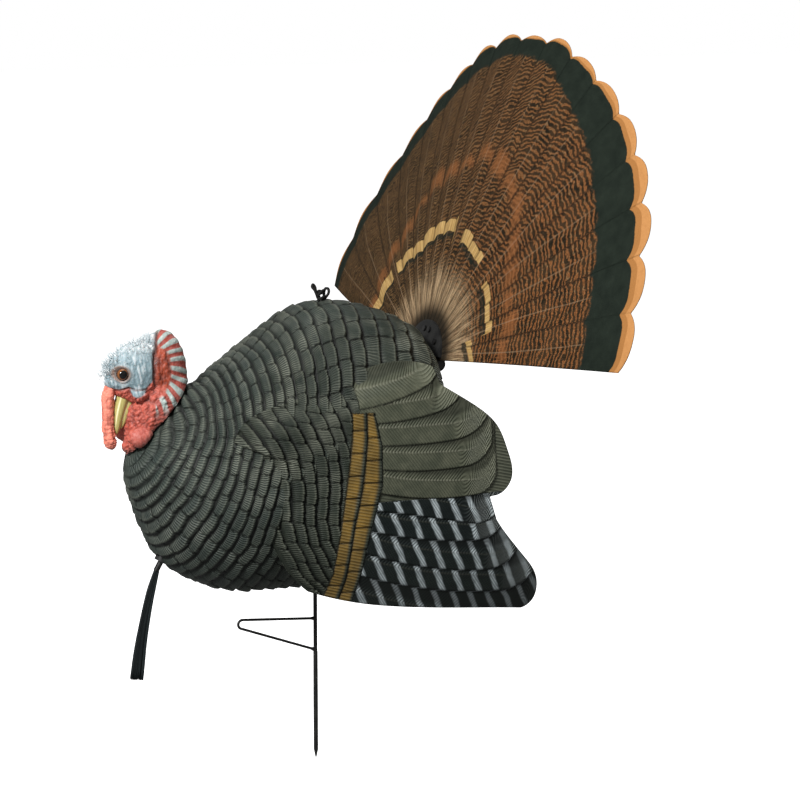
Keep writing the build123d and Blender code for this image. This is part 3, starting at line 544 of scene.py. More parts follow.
COVERT_RIGHT = (-25, -18, -8, 1, 8, 9)


WING_MASKS = ("h", "cut", "ph", "tone", "dry", "gold", "prim", "bar", "quill", "comb", "sec")
SECONDARY_FLOOR = 186.0  # the long olive feathers end at this height, in mm
TILE_LENGTH, COVERT_LENGTH, LONG_WIDTH = 23.0, 24.0, 27.0


def put(out, inside, **values):
    """Overwrites masks where inside is true."""
    for key, value in values.items():
        out[key] = np.where(inside, value, out[key])


def wing_pattern(x, z):
    """Relief and paint masks of the wing at side-view points in millimetres."""
    out = {key: np.zeros(x.shape) for key in WING_MASKS}
    column = np.interp(z, COVERT_Z, COVERT_LEFT)
    front = np.interp(z, FRONT_Z, FRONT_X)
    drift = 3 * noise3(np.stack([x, z, 0 * x], -1), 40.0, 2)
    size = np.interp(z, (60, 110, 200, 300), (8.5, 11.0, 13.0, 16.0))
    p = (x + drift - front) / size + 10
    lean = z + 0.25 * (x - front) * smooth(z, 230, 300)
    out.update(zip(WING_MASKS, tile_relief(p, lean / TILE_LENGTH + 40, TILE_LENGTH, size, 77)))
    edge1 = np.interp(z, COVERT_Z, COVERT_RIGHT)
    edge2 = np.interp(z, (50, 94, 151, 205, 247, 285), (-12, -3, 9, 23, 24, 17))
    gold_column(out, x, z, column, edge1, 0)
    gold_column(out, x, z, edge1, edge2, 1)
    free = (x >= edge2) | ((z >= 282) & (x > column + 8))
    free = long_feathers(out, x, z, free, SECONDARIES, 1.0)
    flange = free & (z > SECONDARY_FLOOR)
    # Thin lines across the flange carry painted shade through the groove mask.
    put(out, flange, h=-1.2, ph=(z + 0.25 * x) / 2.2, tone=0.1, comb=smooth(x, 120, 150),
        cut=0.35 * ridge(np.mod(z, 24), 1.2), sec=0.6, gold=0, dry=0)
    long_feathers(out, x, z, free & ~flange, PRIMARIES, 0.0)
    return out


def gold_column(out, x, z, low, high, k):
    """One of the two columns of gold covert feathers, between the lines low and high."""
    wide = np.maximum(high - low, 3)
    across = (x - low) / wide
    run = z / COVERT_LENGTH + 0.35 * k + 60
    cell = np.floor(run)
    tone = hash1(cell, cell * 0 + k, 5 + k)
    gap = np.minimum(run - cell, 1 - run + cell) * COVERT_LENGTH
    edge = np.minimum(across, 1 - across) * wide
    height = 1.6 * across + 0.5 * (tone - 0.5) + 0.2
    height -= 1.6 * ridge(gap, 0.9) + 1.2 * ridge((1 - across) * wide, 1.0)
    # The groove mask between the gold coverts and along their edges also sets painted shade.
    put(out, (x >= low) & (x < high) & (z < 282), h=height, tone=tone, dry=0, ph=(z + 4 * across) / 2.1,
        cut=np.clip(ridge(gap, 0.9) + ridge(edge, 1.1), 0, 1),
        gold=smooth(across, -0.05, 0.12) * (1 - smooth(across, 0.62, 0.86)))


def long_feathers(out, x, z, free, feathers, olive):
    """Long feathers laid from the top down; olive is 1 for secondaries, 0 for barred primaries.
    Barbs slant away from the quill and fan out at the tip. Returns the area still free."""
    for k, (points, tip, radius, rise) in enumerate(feathers):
        floor = np.polyval(np.polyfit(*zip(*points), 2), x)
        tau = np.clip((x - (tip - radius)) / radius, 0, 0.9999)
        above = z - floor - rise * (1 - np.sqrt(1 - tau**2))
        inside = free & (above > 0) & (x < tip)
        v = np.clip(above / LONG_WIDTH, 0, 1.3)
        near_tip = smooth(x, tip - 45, tip - 6)
        quill_at = 20.0 - 4.0 * smooth(x, tip - 80, tip)
        quill = ridge(above - quill_at, 0.8) * (1 - smooth(x, tip - 30, tip - 5))
        groove = ridge(above, 0.9)
        tip_gap = ridge(tip - x, 1.0)
        slant = np.where(above > quill_at, -0.9, 0.75)
        spread = np.arctan2(above - quill_at, np.maximum(x - (tip - 52), 1.0)) * 17 + 30
        phase = (x + slant * (above - quill_at)) / 2.3
        phase = phase * (1 - near_tip) + near_tip * spread
        height = 1.9 * (1 - np.clip(v, 0, 1)) - 0.6 + 0.5 * quill - 1.0 * groove - 0.7 * tip_gap
        height += 0.35 * near_tip * np.sin(TAU * spread)
        # The groove mask paints shade along each lower edge, in the tip gap and just under the edge of the
        # feather above.
        put(out, inside, h=height, ph=phase, tone=hash1(k, 3, 8), dry=0, gold=0, quill=quill, comb=near_tip,
            cut=np.clip(groove * 0.9 + 0.6 * tip_gap + 0.55 * smooth(v, 0.82, 1.05), 0, 1),
            sec=olive, prim=1 - olive, bar=(x + 0.34 * (z - 100) + 7.0 * k + 0.0025 * above**2) / 21.5)
        free = free & ~inside
    return free


def wing_material():
    """Olive shoulder, gold columns, olive long feathers and barred primaries."""
    m = Mat("wing_feathers", 0.55)
    m.bsdf.inputs["Specular IOR Level"].default_value = 0.12
    gold, prim, bar, quill, comb = (m.attr(key) for key in ("gold", "prim", "bar", "quill", "comb"))
    barbs = m.wave(m.mul(m.attr("ph"), BARBS_PER_PHASE))
    mottle = m.noise(70, 4)
    base, barb_highlights = olive_feather(
        m, barbs, mottle, (0.018, 0.024, 0.018), (0.034, 0.041, 0.031), (0.060, 0.066, 0.049),
        (0.38, 0.39, 0.31), 0.7)
    secondary = m.layers(
        m.mix(m.step(mottle, 0.3, 0.8), (0.066, 0.073, 0.050), (0.115, 0.12, 0.082)),
        (m.mul(barbs, 0.35), (0.026, 0.030, 0.020)),
        (m.mul(m.mul(comb, m.power(barbs, 2.0)), 0.55), (0.32, 0.33, 0.24)),
    )
    stripe = m.wave(m.add(bar, m.mul(m.noise(45, 2), 0.22)))
    stripe = m.mul(m.step(stripe, 0.60, 0.97), m.scaled(m.noise(60, 3), 1.1, 0.25, clamp=True))
    pale = m.mix(m.noise(90, 2), (0.36, 0.42, 0.44), (0.74, 0.82, 0.84))
    primary = m.layers(
        m.mix(m.noise(120, 3), (0.004, 0.007, 0.007), (0.015, 0.020, 0.019)),
        (m.mul(m.mul(stripe, m.scaled(barbs, 0.5, 0.55)), 0.85), pale),
        (m.mul(m.mul(comb, m.power(barbs, 3.0)), 0.6), (0.42, 0.46, 0.44)),
    )
    ochre = m.layers(
        m.mix(m.step(m.noise(55, 3), 0.3, 0.7), (0.105, 0.060, 0.010), (0.235, 0.135, 0.024)),
        (m.mul(m.power(barbs, 2.0), 0.45), (0.34, 0.24, 0.09)),
    )
    base = m.layers(
        base,
        # Painted highlights along the barbs.
        barb_highlights,
        # Darker in the troughs between the barbs: painted shade.
        (m.scaled(barbs, -0.3, 0.3), (0.012, 0.015, 0.012)),
        # Lighter along the raised trailing edges: painted highlight.
        (m.mul(m.attr("dry"), 0.32), (0.2, 0.21, 0.16)),
        (m.attr("sec"), secondary),
        (prim, primary),
        (m.mul(gold, m.scaled(m.noise(40, 2), 0.5, 0.55, clamp=True)), ochre),
        (m.mul(quill, m.scaled(prim, -0.38, 0.5)), (0.2, 0.2, 0.15)),
        # Darker towards the bottom: painted shade on the underside.
        (m.mul(m.attr("low"), 0.35), (0.014, 0.016, 0.012)),
    )
    return feather_finish(m, base, barbs, mottle, 0.92, 0.38, 0.0006)


def make_wing(side, sign, material):
    """One wing: a radial grid in the side view wrapped on the CAD wing, relief outside, plain inside."""
    tree = node_tree_bvh(f"wing_{side}")
    angles = np.linspace(0, TAU, WING_TURNS, endpoint=False)

    def hit(x, z):
        point, _, _, _ = tree.ray_cast(Vector((x * MM, sign * 0.3, z * MM)), Vector((0, -sign, 0)), 0.3)
        return None if point is None else point.y / MM * sign

    def side_view(shares):
        out = shares[:, None] * reach[None]
        return WING_HUB[0] + out * np.cos(angles)[None], WING_HUB[1] + out * np.sin(angles)[None]

    reach = []
    for a in angles:
        low, high = 20.0, 260.0
        while high - low > 0.2:
            mid = (low + high) / 2
            if hit(WING_HUB[0] + mid * math.cos(a), WING_HUB[1] + mid * math.sin(a)) is None:
                high = mid
            else:
                low = mid
        reach.append(low - 0.15)
    reach = np.array(reach)
    rings = np.linspace(0.004, 1, WING_RINGS)
    x, z = side_view(rings)
    y = np.zeros_like(x)
    for i in range(WING_RINGS):
        for j in range(WING_TURNS):
            value = hit(x[i, j], z[i, j])
            y[i, j] = np.nan if value is None else value
    y = np.where(np.isnan(y), np.nanmean(y), y)
    marks = wing_pattern(x, z)
    ease = smooth(1 - rings, 0.0, 0.012)[:, None]
    around = np.degrees(np.mod(angles, TAU))
    tuck = smooth(around, 52, 80) * (1 - smooth(around, 215, 262))
    tuck = 16.0 * tuck[None] * smooth(rings[:, None] * reach[None], reach[None] - 38, reach[None]) ** 1.5
    relief = marks["h"] * ease - 1.1 * (1 - ease) - tuck
    outer = np.stack([x, sign * (y + relief - 0.8), z], -1)
    back_rings = np.array([1, 1, 0.985, 0.965, 0.8, 0.55, 0.3, 0.1])
    depths = (2.2, 15.5, 15.5, 5.6, 5.6, 5.6, 5.6, 5.6)
    bx, bz = side_view(back_rings)
    by = np.zeros_like(bx)
    for i in range(len(back_rings)):
        source = y[min(WING_RINGS - 1, int(round(back_rings[i] * (WING_RINGS - 1))))]
        by[i] = source - np.maximum(depths[i], tuck[-1] + 2.0 if back_rings[i] > 0.96 else 0)
    inner = np.stack([bx, sign * by, bz], -1)
    rows = WING_RINGS + len(back_rings)
    verts = np.vstack([outer.reshape(-1, 3), inner.reshape(-1, 3)])
    count = len(verts)
    quads = grid_faces(rows, WING_TURNS, close_columns=True, flip=sign > 0)
    first = np.arange(WING_TURNS)
    last = (rows - 1) * WING_TURNS + first
    verts = np.vstack([verts, outer[0].mean(0), inner[-1].mean(0)])
    caps = [np.stack([np.roll(first, -1), first, np.full(WING_TURNS, count)], -1),
            np.stack([last, np.roll(last, -1), np.full(WING_TURNS, count + 1)], -1)]
    caps = np.vstack(caps)
    if sign > 0:
        caps = caps[:, ::-1]
    values = {}
    for key in WING_MASKS[1:]:
        values[key] = np.concatenate([marks[key].ravel(), np.zeros(inner[..., 0].size), [0, 0]])
    # The inside of the wing, against the body, gets a fixed groove-mask value: painted shade.
    values["cut"][outer[..., 0].size:] = 0.35
    # Darker towards the bottom of the wing: painted shade on the underside.
    values["low"] = smooth(-verts[:, 2], -160, -60)
    obj = new_mesh(f"wing_feathers_{side}", verts, [*caps, *quads], values)
    dress(obj, material, "torso", "wing_plastic", f"wing_{side}")


# ---------------------------------------------------------------- tail fan
PIVOT = np.array([144.0, 0.0, 309.5])
TILT = math.radians(15.2)
FAN_UP = np.array([math.sin(TILT), 0.0, math.cos(TILT)])
FAN_FRONT = np.array([-math.cos(TILT), 0.0, math.sin(TILT)])
FAN_SIDE = np.array([0.0, -1.0, 0.0])
FAN_HALF = math.radians(82.5)
FEATHERS = 17
FAN_COLUMNS, FAN_ROWS = 613, 150


def fan_sweep(radius, angle):
    """How far the cloth between the middle and the sides is swept back, in mm."""
    share = np.clip(np.abs(angle) / FAN_HALF, 0, 1) ** 1.2
    return 17.0 * np.sin(math.pi * share) ** 2 * (radius / 380) ** 2


def make_fan():
    """The cloth tail: the CAD sheet's outline and dome with a crease along every printed feather."""
    tree = node_tree_bvh("fan_fabric")
    angles = np.linspace(-FAN_HALF, FAN_HALF, FAN_COLUMNS)
    inset = math.radians(0.05)

    def level(radius, angle):
        a = min(max(angle, -FAN_HALF + inset), FAN_HALF - inset)
        flat = PIVOT + radius * (math.cos(a) * FAN_UP + math.sin(a) * FAN_SIDE)
        point, _, _, _ = tree.ray_cast(Vector((flat + 150 * FAN_FRONT) * MM), Vector(-FAN_FRONT), 0.3)
        return None if point is None else float((np.array(point) / MM - flat) @ FAN_FRONT)

    outline, table = [], []
    samples = np.linspace(22, 360, 14)
    for a in angles:
        low, high = 300.0, 420.0
        while high - low > 0.15:
            mid = (low + high) / 2
            low, high = (low, mid) if level(mid, a) is None else (mid, high)
        outline.append(low)
        table.append([level(r, a) or 14.0 for r in samples])
    outline = np.array(outline)
    place = (angles + FAN_HALF) / (2 * FAN_HALF) * FEATHERS
    number = np.clip(np.floor(place), 0, FEATHERS - 1)
    notch = np.abs(2 * (place - number) - 1) ** 2.2
    deep = np.interp(np.degrees(angles), (-82, 0, 30, 82), (1.0, 2.0, 6.0, 6.0))
    outline = outline - deep * notch + 5 * (hash1(number, number * 0, 91) - 0.5) * (1 - notch)
    dome = np.polyfit(samples**2, np.mean(table, 0), 1)
    rows = np.linspace(0, 1, FAN_ROWS)[:, None]
    inner = 15.0
    r = inner + rows * (outline[None] - inner)
    a = angles[None] + 0 * rows
    coordinate = (a + FAN_HALF) / (2 * FAN_HALF) * FEATHERS
    index = np.clip(np.floor(coordinate), 0, FEATHERS - 1)
    lateral = coordinate - index - 0.5
    fade = smooth(r, 25, 130)
    crease = 0.9 * np.cos(TAU * lateral) * fade + 0.5 * (lateral + 0.5) * fade
    ripple = 0.8 * noise3(np.stack([r * np.sin(a), r * np.cos(a), 0 * r], -1), 55.0, 31) * fade
    height = np.polyval(dome, r**2) - fan_sweep(r, a) + crease * 0.8 + ripple
    flat = PIVOT + r[..., None] * (np.cos(a)[..., None] * FAN_UP + np.sin(a)[..., None] * FAN_SIDE)
    front = flat + height[..., None] * FAN_FRONT
    back = flat + (height - 0.9)[..., None] * FAN_FRONT
    verts = np.vstack([front.reshape(-1, 3), back.reshape(-1, 3)])
    size = FAN_COLUMNS * FAN_ROWS
    grid = np.arange(size).reshape(FAN_ROWS, FAN_COLUMNS)
    rim = np.concatenate([grid[0], grid[1:, -1], grid[-1, -2::-1], grid[-2:0:-1, 0]])
    nxt = np.roll(rim, -1)
    sides = np.stack([rim, nxt, nxt + size, rim + size], -1)
    faces = [grid_faces(FAN_ROWS, FAN_COLUMNS), grid_faces(FAN_ROWS, FAN_COLUMNS, start=size, flip=True)]
    quads = np.vstack([*faces, sides])
    marks = fan_marks(r, a, outline[None] + 0 * r, index, lateral)
    values = {k: np.concatenate([v.ravel(), v.ravel()]) for k, v in marks.items()}
    values["back"] = np.concatenate([np.zeros(size), np.ones(size)])
    obj = new_mesh("fan_skin", verts, quads, values)
    ribs = []
    for angle in np.radians(np.linspace(-76, 76, 9)):
        along = np.linspace(26, 352, 60)
        behind = np.polyval(dome, along**2) - fan_sweep(along, angle) - 3.6
        line = PIVOT + along[:, None] * (math.cos(angle) * FAN_UP + math.sin(angle) * FAN_SIDE)
        ribs.append((line + behind[:, None] * FAN_FRONT, np.full(60, 1.5), 12))
    wires = bundle("fan_rib_wires", ribs)
    dress(wires, simple_material("rib_steel", *FINISHES["rib_steel"]), "fan", "rib_wire", "fan_ribs")
    dress(obj, fan_material(), "fan", "fan_fabric", "fan_fabric")


# Printed bands by the angle from the fan's middle, in degrees: tip depth, dark band depth and two ring radii.
TIP_DEPTH = ((-82, -40, 0, 12, 29, 40, 58, 82), (3, 3.5, 2.5, 4, 8, 13, 19, 16))
DARK_DEPTH = ((-76, -40, -10, 0, 12, 28, 45, 58, 82), (24, 30, 23, 20, 26, 43, 50, 54, 52))
ARC_RADIUS = (
    (-73, -58, -57, -31, -4, -3.9, 30, 31, 69, 69.1, 88),
    (170, 172, 166, 153, 160, 146, 142, 134, 137, 98, 121),
)
COPPER_RADIUS = ((-77, -51, -39, 0, 24, 40, 59, 74), (180, 206, 224, 238, 226, 188, 176, 173))
ARC_GAPS = ((-59, 2.0), (0.5, 4.0), (36, 6.0))
OUTSIDE = -20.0


def fan_marks(r, a, outline, index, lateral):
    """Where the printed bands lie, as distances in millimetres (positive inside a band)."""
    near = np.degrees(a)
    tip = np.interp(near, *TIP_DEPTH)
    dark = np.interp(near, *DARK_DEPTH)
    depth = outline - r
    wobble = 3.0 * np.cos(TAU * lateral) + 2.0 * noise3(np.stack([r, near * 4, 0 * r], -1), 30.0, 5)
    width = r * 2 * FAN_HALF / FEATHERS
    across = lateral * width
    pick = hash1(index, 0 * index, 17)
    pick2 = hash1(index, 0 * index + 1, 18)
    bow = 5.0 * (2 * lateral) ** 2
    arc_at = np.interp(near, *ARC_RADIUS) + 6 * (pick - 0.5)
    half_width = np.interp(near, (-60, 0, 30), (9.0, 7.5, 5.0)) + 2.5 * (pick2 - 0.5)
    arc = half_width - np.abs(r - arc_at + 0.5 * bow)
    arc = np.minimum(arc, (0.50 - np.abs(lateral)) * width + 1.0)
    for angle, half in ARC_GAPS:
        arc = np.where(np.abs(near - angle) < half, OUTSIDE, arc)
    inner = np.where(arc > OUTSIDE + 1, 5.0 - np.abs(r - (arc_at - 10) + 0.5 * bow), OUTSIDE)
    blotch_at = np.interp(near, *COPPER_RADIUS) + 12 * (pick2 - 0.5)
    blotch = 9.0 + 9 * (pick - 0.5) - np.abs(r - blotch_at + bow * 1.6)
    blotch = np.minimum(blotch, (0.44 - np.abs(lateral - 0.04)) * width)
    return {
        "rr": r, "lat": across, "tip": tip + 2.0 * np.cos(TAU * lateral) - depth, "tipw": tip,
        "dark": dark + tip + wobble - depth, "arc": arc, "inner": inner, "blotch": blotch,
        "fi": index, "near": smooth(near, -45, 50), "gap": (0.5 - np.abs(lateral)) * width,
        "quill": np.abs(across - 2.5 * np.sin(r / 60 + pick * 9)),
    }


def fan_material():
    """The printed cloth: wavy cross bars, copper ring, buff arcs, dark band, bright tips, plain back."""
    m = Mat("fan_print", 0.9)
    m.bsdf.inputs["Specular IOR Level"].default_value = 0.04
    keys = ("rr", "lat", "tip", "dark", "arc", "inner", "blotch", "near", "fi", "quill", "gap", "tipw")
    rr, lat, tip, dark, arc, inner, blotch, near, fi, quill, gap, tipw = (m.attr(key) for key in keys)
    polar = m.xyz(m.mul(lat, 0.10), m.mul(rr, 0.10), m.mul(fi, 3.7))
    streak = m.noise(1.6, 4, m.xyz(m.mul(lat, 0.55), m.mul(rr, 0.022), m.mul(fi, 3.7)), 0.65)
    fine = m.noise(2.4, 4, polar, 0.6)
    speckle = m.noise(9.0, 2, polar, 0.7)

    def ragged(distance, noise, reach):
        """A band distance with its edge moved by noise."""
        return m.add(distance, m.mul(m.minus(noise, 0.5), reach))

    bend = m.add(m.mul(m.math("ABSOLUTE", lat), 0.22), m.mul(m.noise(0.8, 3, polar), 15.0))
    bars = m.wave(m.math("DIVIDE", m.add(rr, bend), m.scaled(near, 2.4, 4.2)))
    bars = m.step(bars, 0.46, 0.74)
    broken = m.mul(bars, m.scaled(speckle, 3.2, -1.1, clamp=True))
    ground = m.mix(m.step(m.noise(0.42, 3, polar), 0.35, 0.65), (0.012, 0.010, 0.006), (0.036, 0.022, 0.011))
    bar_color = m.mix(near, (0.185, 0.100, 0.040), (0.31, 0.115, 0.036))
    copper = m.mix(streak, (0.09, 0.035, 0.014), (0.36, 0.135, 0.045))
    cream = m.mix(m.step(streak, 0.36, 0.66), (0.085, 0.050, 0.026), (0.46, 0.33, 0.19))
    buff = m.mix(m.step(streak, 0.4, 0.6), (0.30, 0.18, 0.06), (0.50, 0.33, 0.13))
    green = m.mix(m.noise(0.7, 3, polar), (0.006, 0.009, 0.007), (0.020, 0.027, 0.020))
    frayed = m.noise(2.0, 3, m.xyz(m.mul(lat, 0.6), m.mul(rr, 0.08), fi))
    tip_share = m.step(m.math("DIVIDE", tip, m.math("MAXIMUM", tipw, 1.0)), 0.42, 0.50)
    orange = m.layers(
        m.mix(tip_share, (0.34, 0.150, 0.045), (0.48, 0.225, 0.078)),
        (m.mul(m.step(fine, 0.4, 0.7), 0.3), (0.36, 0.16, 0.05)),
    )
    cloth = m.mix(m.noise(90, 4), (0.030, 0.024, 0.018), (0.060, 0.047, 0.034))
    m.color(m.layers(
        ground,
        (m.mul(m.step(streak, 0.48, 0.72), 0.6), (0.090, 0.045, 0.022)),
        (m.mul(broken, 0.9), m.mix(m.step(fine, 0.5, 0.7), bar_color, (0.28, 0.17, 0.08))),
        (m.mul(m.step(speckle, 0.62, 0.75), 0.35), (0.26, 0.15, 0.08)),
        (m.mul(m.step(ragged(blotch, streak, 34.0), -4.0, 7.0), 0.6), copper),
        (m.mul(m.step(m.minus(100.0, ragged(rr, streak, -70.0)), -22.0, 24.0), 0.9), cream),
        (m.mul(m.step(inner, -1.0, 2.0), 0.75), (0.012, 0.016, 0.012)),
        (m.step(ragged(arc, fine, 2.5), -0.4, 0.6), buff),
        (m.mul(m.step(quill, 0.35, 1.0, invert=True), 0.35), (0.30, 0.20, 0.12)),
        (m.mul(m.step(gap, 0.0, 2.6, invert=True), 0.45), (0.008, 0.008, 0.007)),
        (m.step(ragged(dark, frayed, 11.0), -2.5, 3.0), green),
        (m.step(ragged(tip, fine, 1.6), -0.5, 0.7), orange),
        # Near-black round the hub: partly the print's dark centre, partly painted shadow where the fan sits
        # behind the body.
        (m.mul(m.step(m.minus(63.0, ragged(rr, streak, -46.0)), -10.0, 12.0), 0.93), (0.006, 0.006, 0.005)),
        (m.step(m.attr("back"), 0.4, 0.6), cloth),
    ))
    m.roughness(m.scaled(fine, 0.2, 0.68))
    m.bump(m.mul(m.wave(m.mul(lat, 0.9)), m.wave(m.mul(rr, 0.9))), 0.00022)
    m.bump(m.add(streak, m.mul(bars, 0.3)), 0.0003)
    return m.mat


# ---------------------------------------------------------------- swept pieces
def unit(vectors):
    return vectors / np.linalg.norm(vectors, axis=1)[:, None]


def sweep(path, radii, sides=10, squash_y=1.0, start=0, bumps=None):
    """Vertices and faces of a closed tube along path; radii has one value a point."""
    path = np.asarray(path, float)
    radii = np.asarray(radii, float)
    tangent = unit(np.gradient(path, axis=0))
    side = np.cross(tangent, [0.0, 1.0, 0.0])
    weak = np.linalg.norm(side, axis=1) < 1e-3
    side[weak] = [1.0, 0.0, 0.0]
    side = unit(side)
    other = np.cross(tangent, side)
    turn = np.linspace(0, TAU, sides, endpoint=False)
    ring = np.cos(turn)[None, :, None] * side[:, None]
    ring = ring + squash_y * np.sin(turn)[None, :, None] * other[:, None]
    size = radii[:, None] * (1 if bumps is None else bumps)
    verts = path[:, None] + ring * (size[..., None] if np.ndim(size) == 2 else size)
    count = len(path)
    quads = grid_faces(count, sides, start=start, close_columns=True)
    flat = verts.reshape(-1, 3)
    first, last = start + len(flat), start + len(flat) + 1
    flat = np.vstack([flat, path[0], path[-1]])
    a = start + np.arange(sides)
    b = start + (count - 1) * sides + np.arange(sides)
    caps = np.vstack([np.stack([np.roll(a, -1), a, np.full(sides, first)], -1),
                      np.stack([b, np.roll(b, -1), np.full(sides, last)], -1)])
    return flat, [*quads, *caps]


def curve_points(knots, count):
    """A smooth line through the knots."""
    knots = np.asarray(knots, float)
    ends = np.vstack([2 * knots[0] - knots[1], knots, 2 * knots[-1] - knots[-2]])
    t = np.linspace(0, len(knots) - 1 - 1e-9, count)
    i = np.floor(t).astype(int)
    f = (t - i)[:, None]
    p0, p1, p2, p3 = (ends[i + k] for k in range(4))
    square, cube = 2 * p0 - 5 * p1 + 4 * p2 - p3, 3 * p1 - p0 - 3 * p2 + p3
    return 0.5 * (2 * p1 + (p2 - p0) * f + square * f**2 + cube * f**3)


def bundle(name, tubes):
    """One mesh from many tubes given as (path, radii, sides), with a random tone for each tube."""
    verts, faces, tone = [], [], []
    start = 0
    for k, (path, radii, sides) in enumerate(tubes):
        tube_verts, tube_faces = sweep(path, radii, sides, start=start)
        verts.append(tube_verts)
        faces += tube_faces
        start += len(tube_verts)
        tone.append(np.full(len(tube_verts), float(hash1(k, 3, 2))))
    return new_mesh(name, np.vstack(verts), faces, {"tone": np.concatenate(tone)})


# ---------------------------------------------------------------- head
NECK = np.array([-184.0, 0.0, 269.5])
NECK_OUT = np.array([-0.746, 0.0, 0.665])
EYE_X, EYE_Z = -227.0, 324.0
# The lumps that make up the head: centre, radii and lean in degrees.
HEAD_BLOBS = (
    ((-203, 0, 321.5), (35, 24.5, 33), -14), ((-177, 0, 316.5), (28, 21, 50), 0),
    ((-183, 0, 284), (30, 29, 44), 41.7),
    ((-219, 0, 314), (22, 17, 13), 0), ((-204, 0, 256), (15, 19, 25), 12), ((-211, 0, 243), (11, 13, 11), 0),
    ((-208, -21, 255), (15, 11, 12), 0), ((-208, 21, 255), (15, 11, 12), 0),
    ((-209, -18.5, 301), (8.5, 6.5, 9), 0), ((-209, 18.5, 301), (8.5, 6.5, 9), 0),
    ((-196, 0, 280), (19, 24, 22), 0), ((-168, 0, 304), (19, 21, 26), 20),
)


def make_head():
    """The rubber head: lumps joined into one skin, then pushed and painted by place."""
    bm = bmesh.new()
    for centre, radii, turn in HEAD_BLOBS:
        place = Matrix.Translation(Vector(centre) * MM) @ Matrix.Rotation(math.radians(turn), 4, "Y")
        shape = place @ Matrix.Diagonal((*(r * MM for r in radii), 1))
        bmesh.ops.create_uvsphere(bm, u_segments=48, v_segments=32, radius=1, matrix=shape)
    mesh = bpy.data.meshes.new("head_skin")
    bm.to_mesh(mesh)
    bm.free()
    obj = link("head_skin", mesh)
    merge = ("REMESH", {"mode": "VOXEL", "voxel_size": 0.00085})
    for kind, options in (merge, ("SMOOTH", {"iterations": 9, "factor": 0.6})):
        modifier = obj.modifiers.new(kind, kind)
        for key, value in options.items():
            setattr(modifier, key, value)
    bpy.context.view_layer.update()
    done = bpy.data.meshes.new_from_object(obj.evaluated_get(bpy.context.evaluated_depsgraph_get()))
    obj.modifiers.clear()
    obj.data = done
    count = len(done.vertices)
    p = np.zeros(count * 3)
    n = np.zeros(count * 3)
    done.vertices.foreach_get("co", p)
    done.vertices.foreach_get("normal", n)
    p, n = p.reshape(-1, 3) / MM, n.reshape(-1, 3)
    push, paint = head_skin(p)
    p = p + n * push[:, None]
    below = (p - NECK) @ NECK_OUT - 2.4
    p = p - np.minimum(below, 0)[:, None] * NECK_OUT
    done.vertices.foreach_set("co", ((p + [0, 0, LIFT]) * MM).ravel())
    set_attribute(done, "paint", paint)
    done.polygons.foreach_set("use_smooth", np.ones(len(done.polygons), bool))
    done.update()
    dress(obj, head_material(), "head", "head_rubber", "head")


def ridged(points, size, seed, octaves=3):
    """Wrinkle-like noise: 0 in the creases, 1 on the swellings."""
    value = sum(np.abs(noise3(points, size / 1.9**k, seed + k)) / 1.7**k for k in range(octaves))
    return np.clip(value / 1.15, 0, 1)


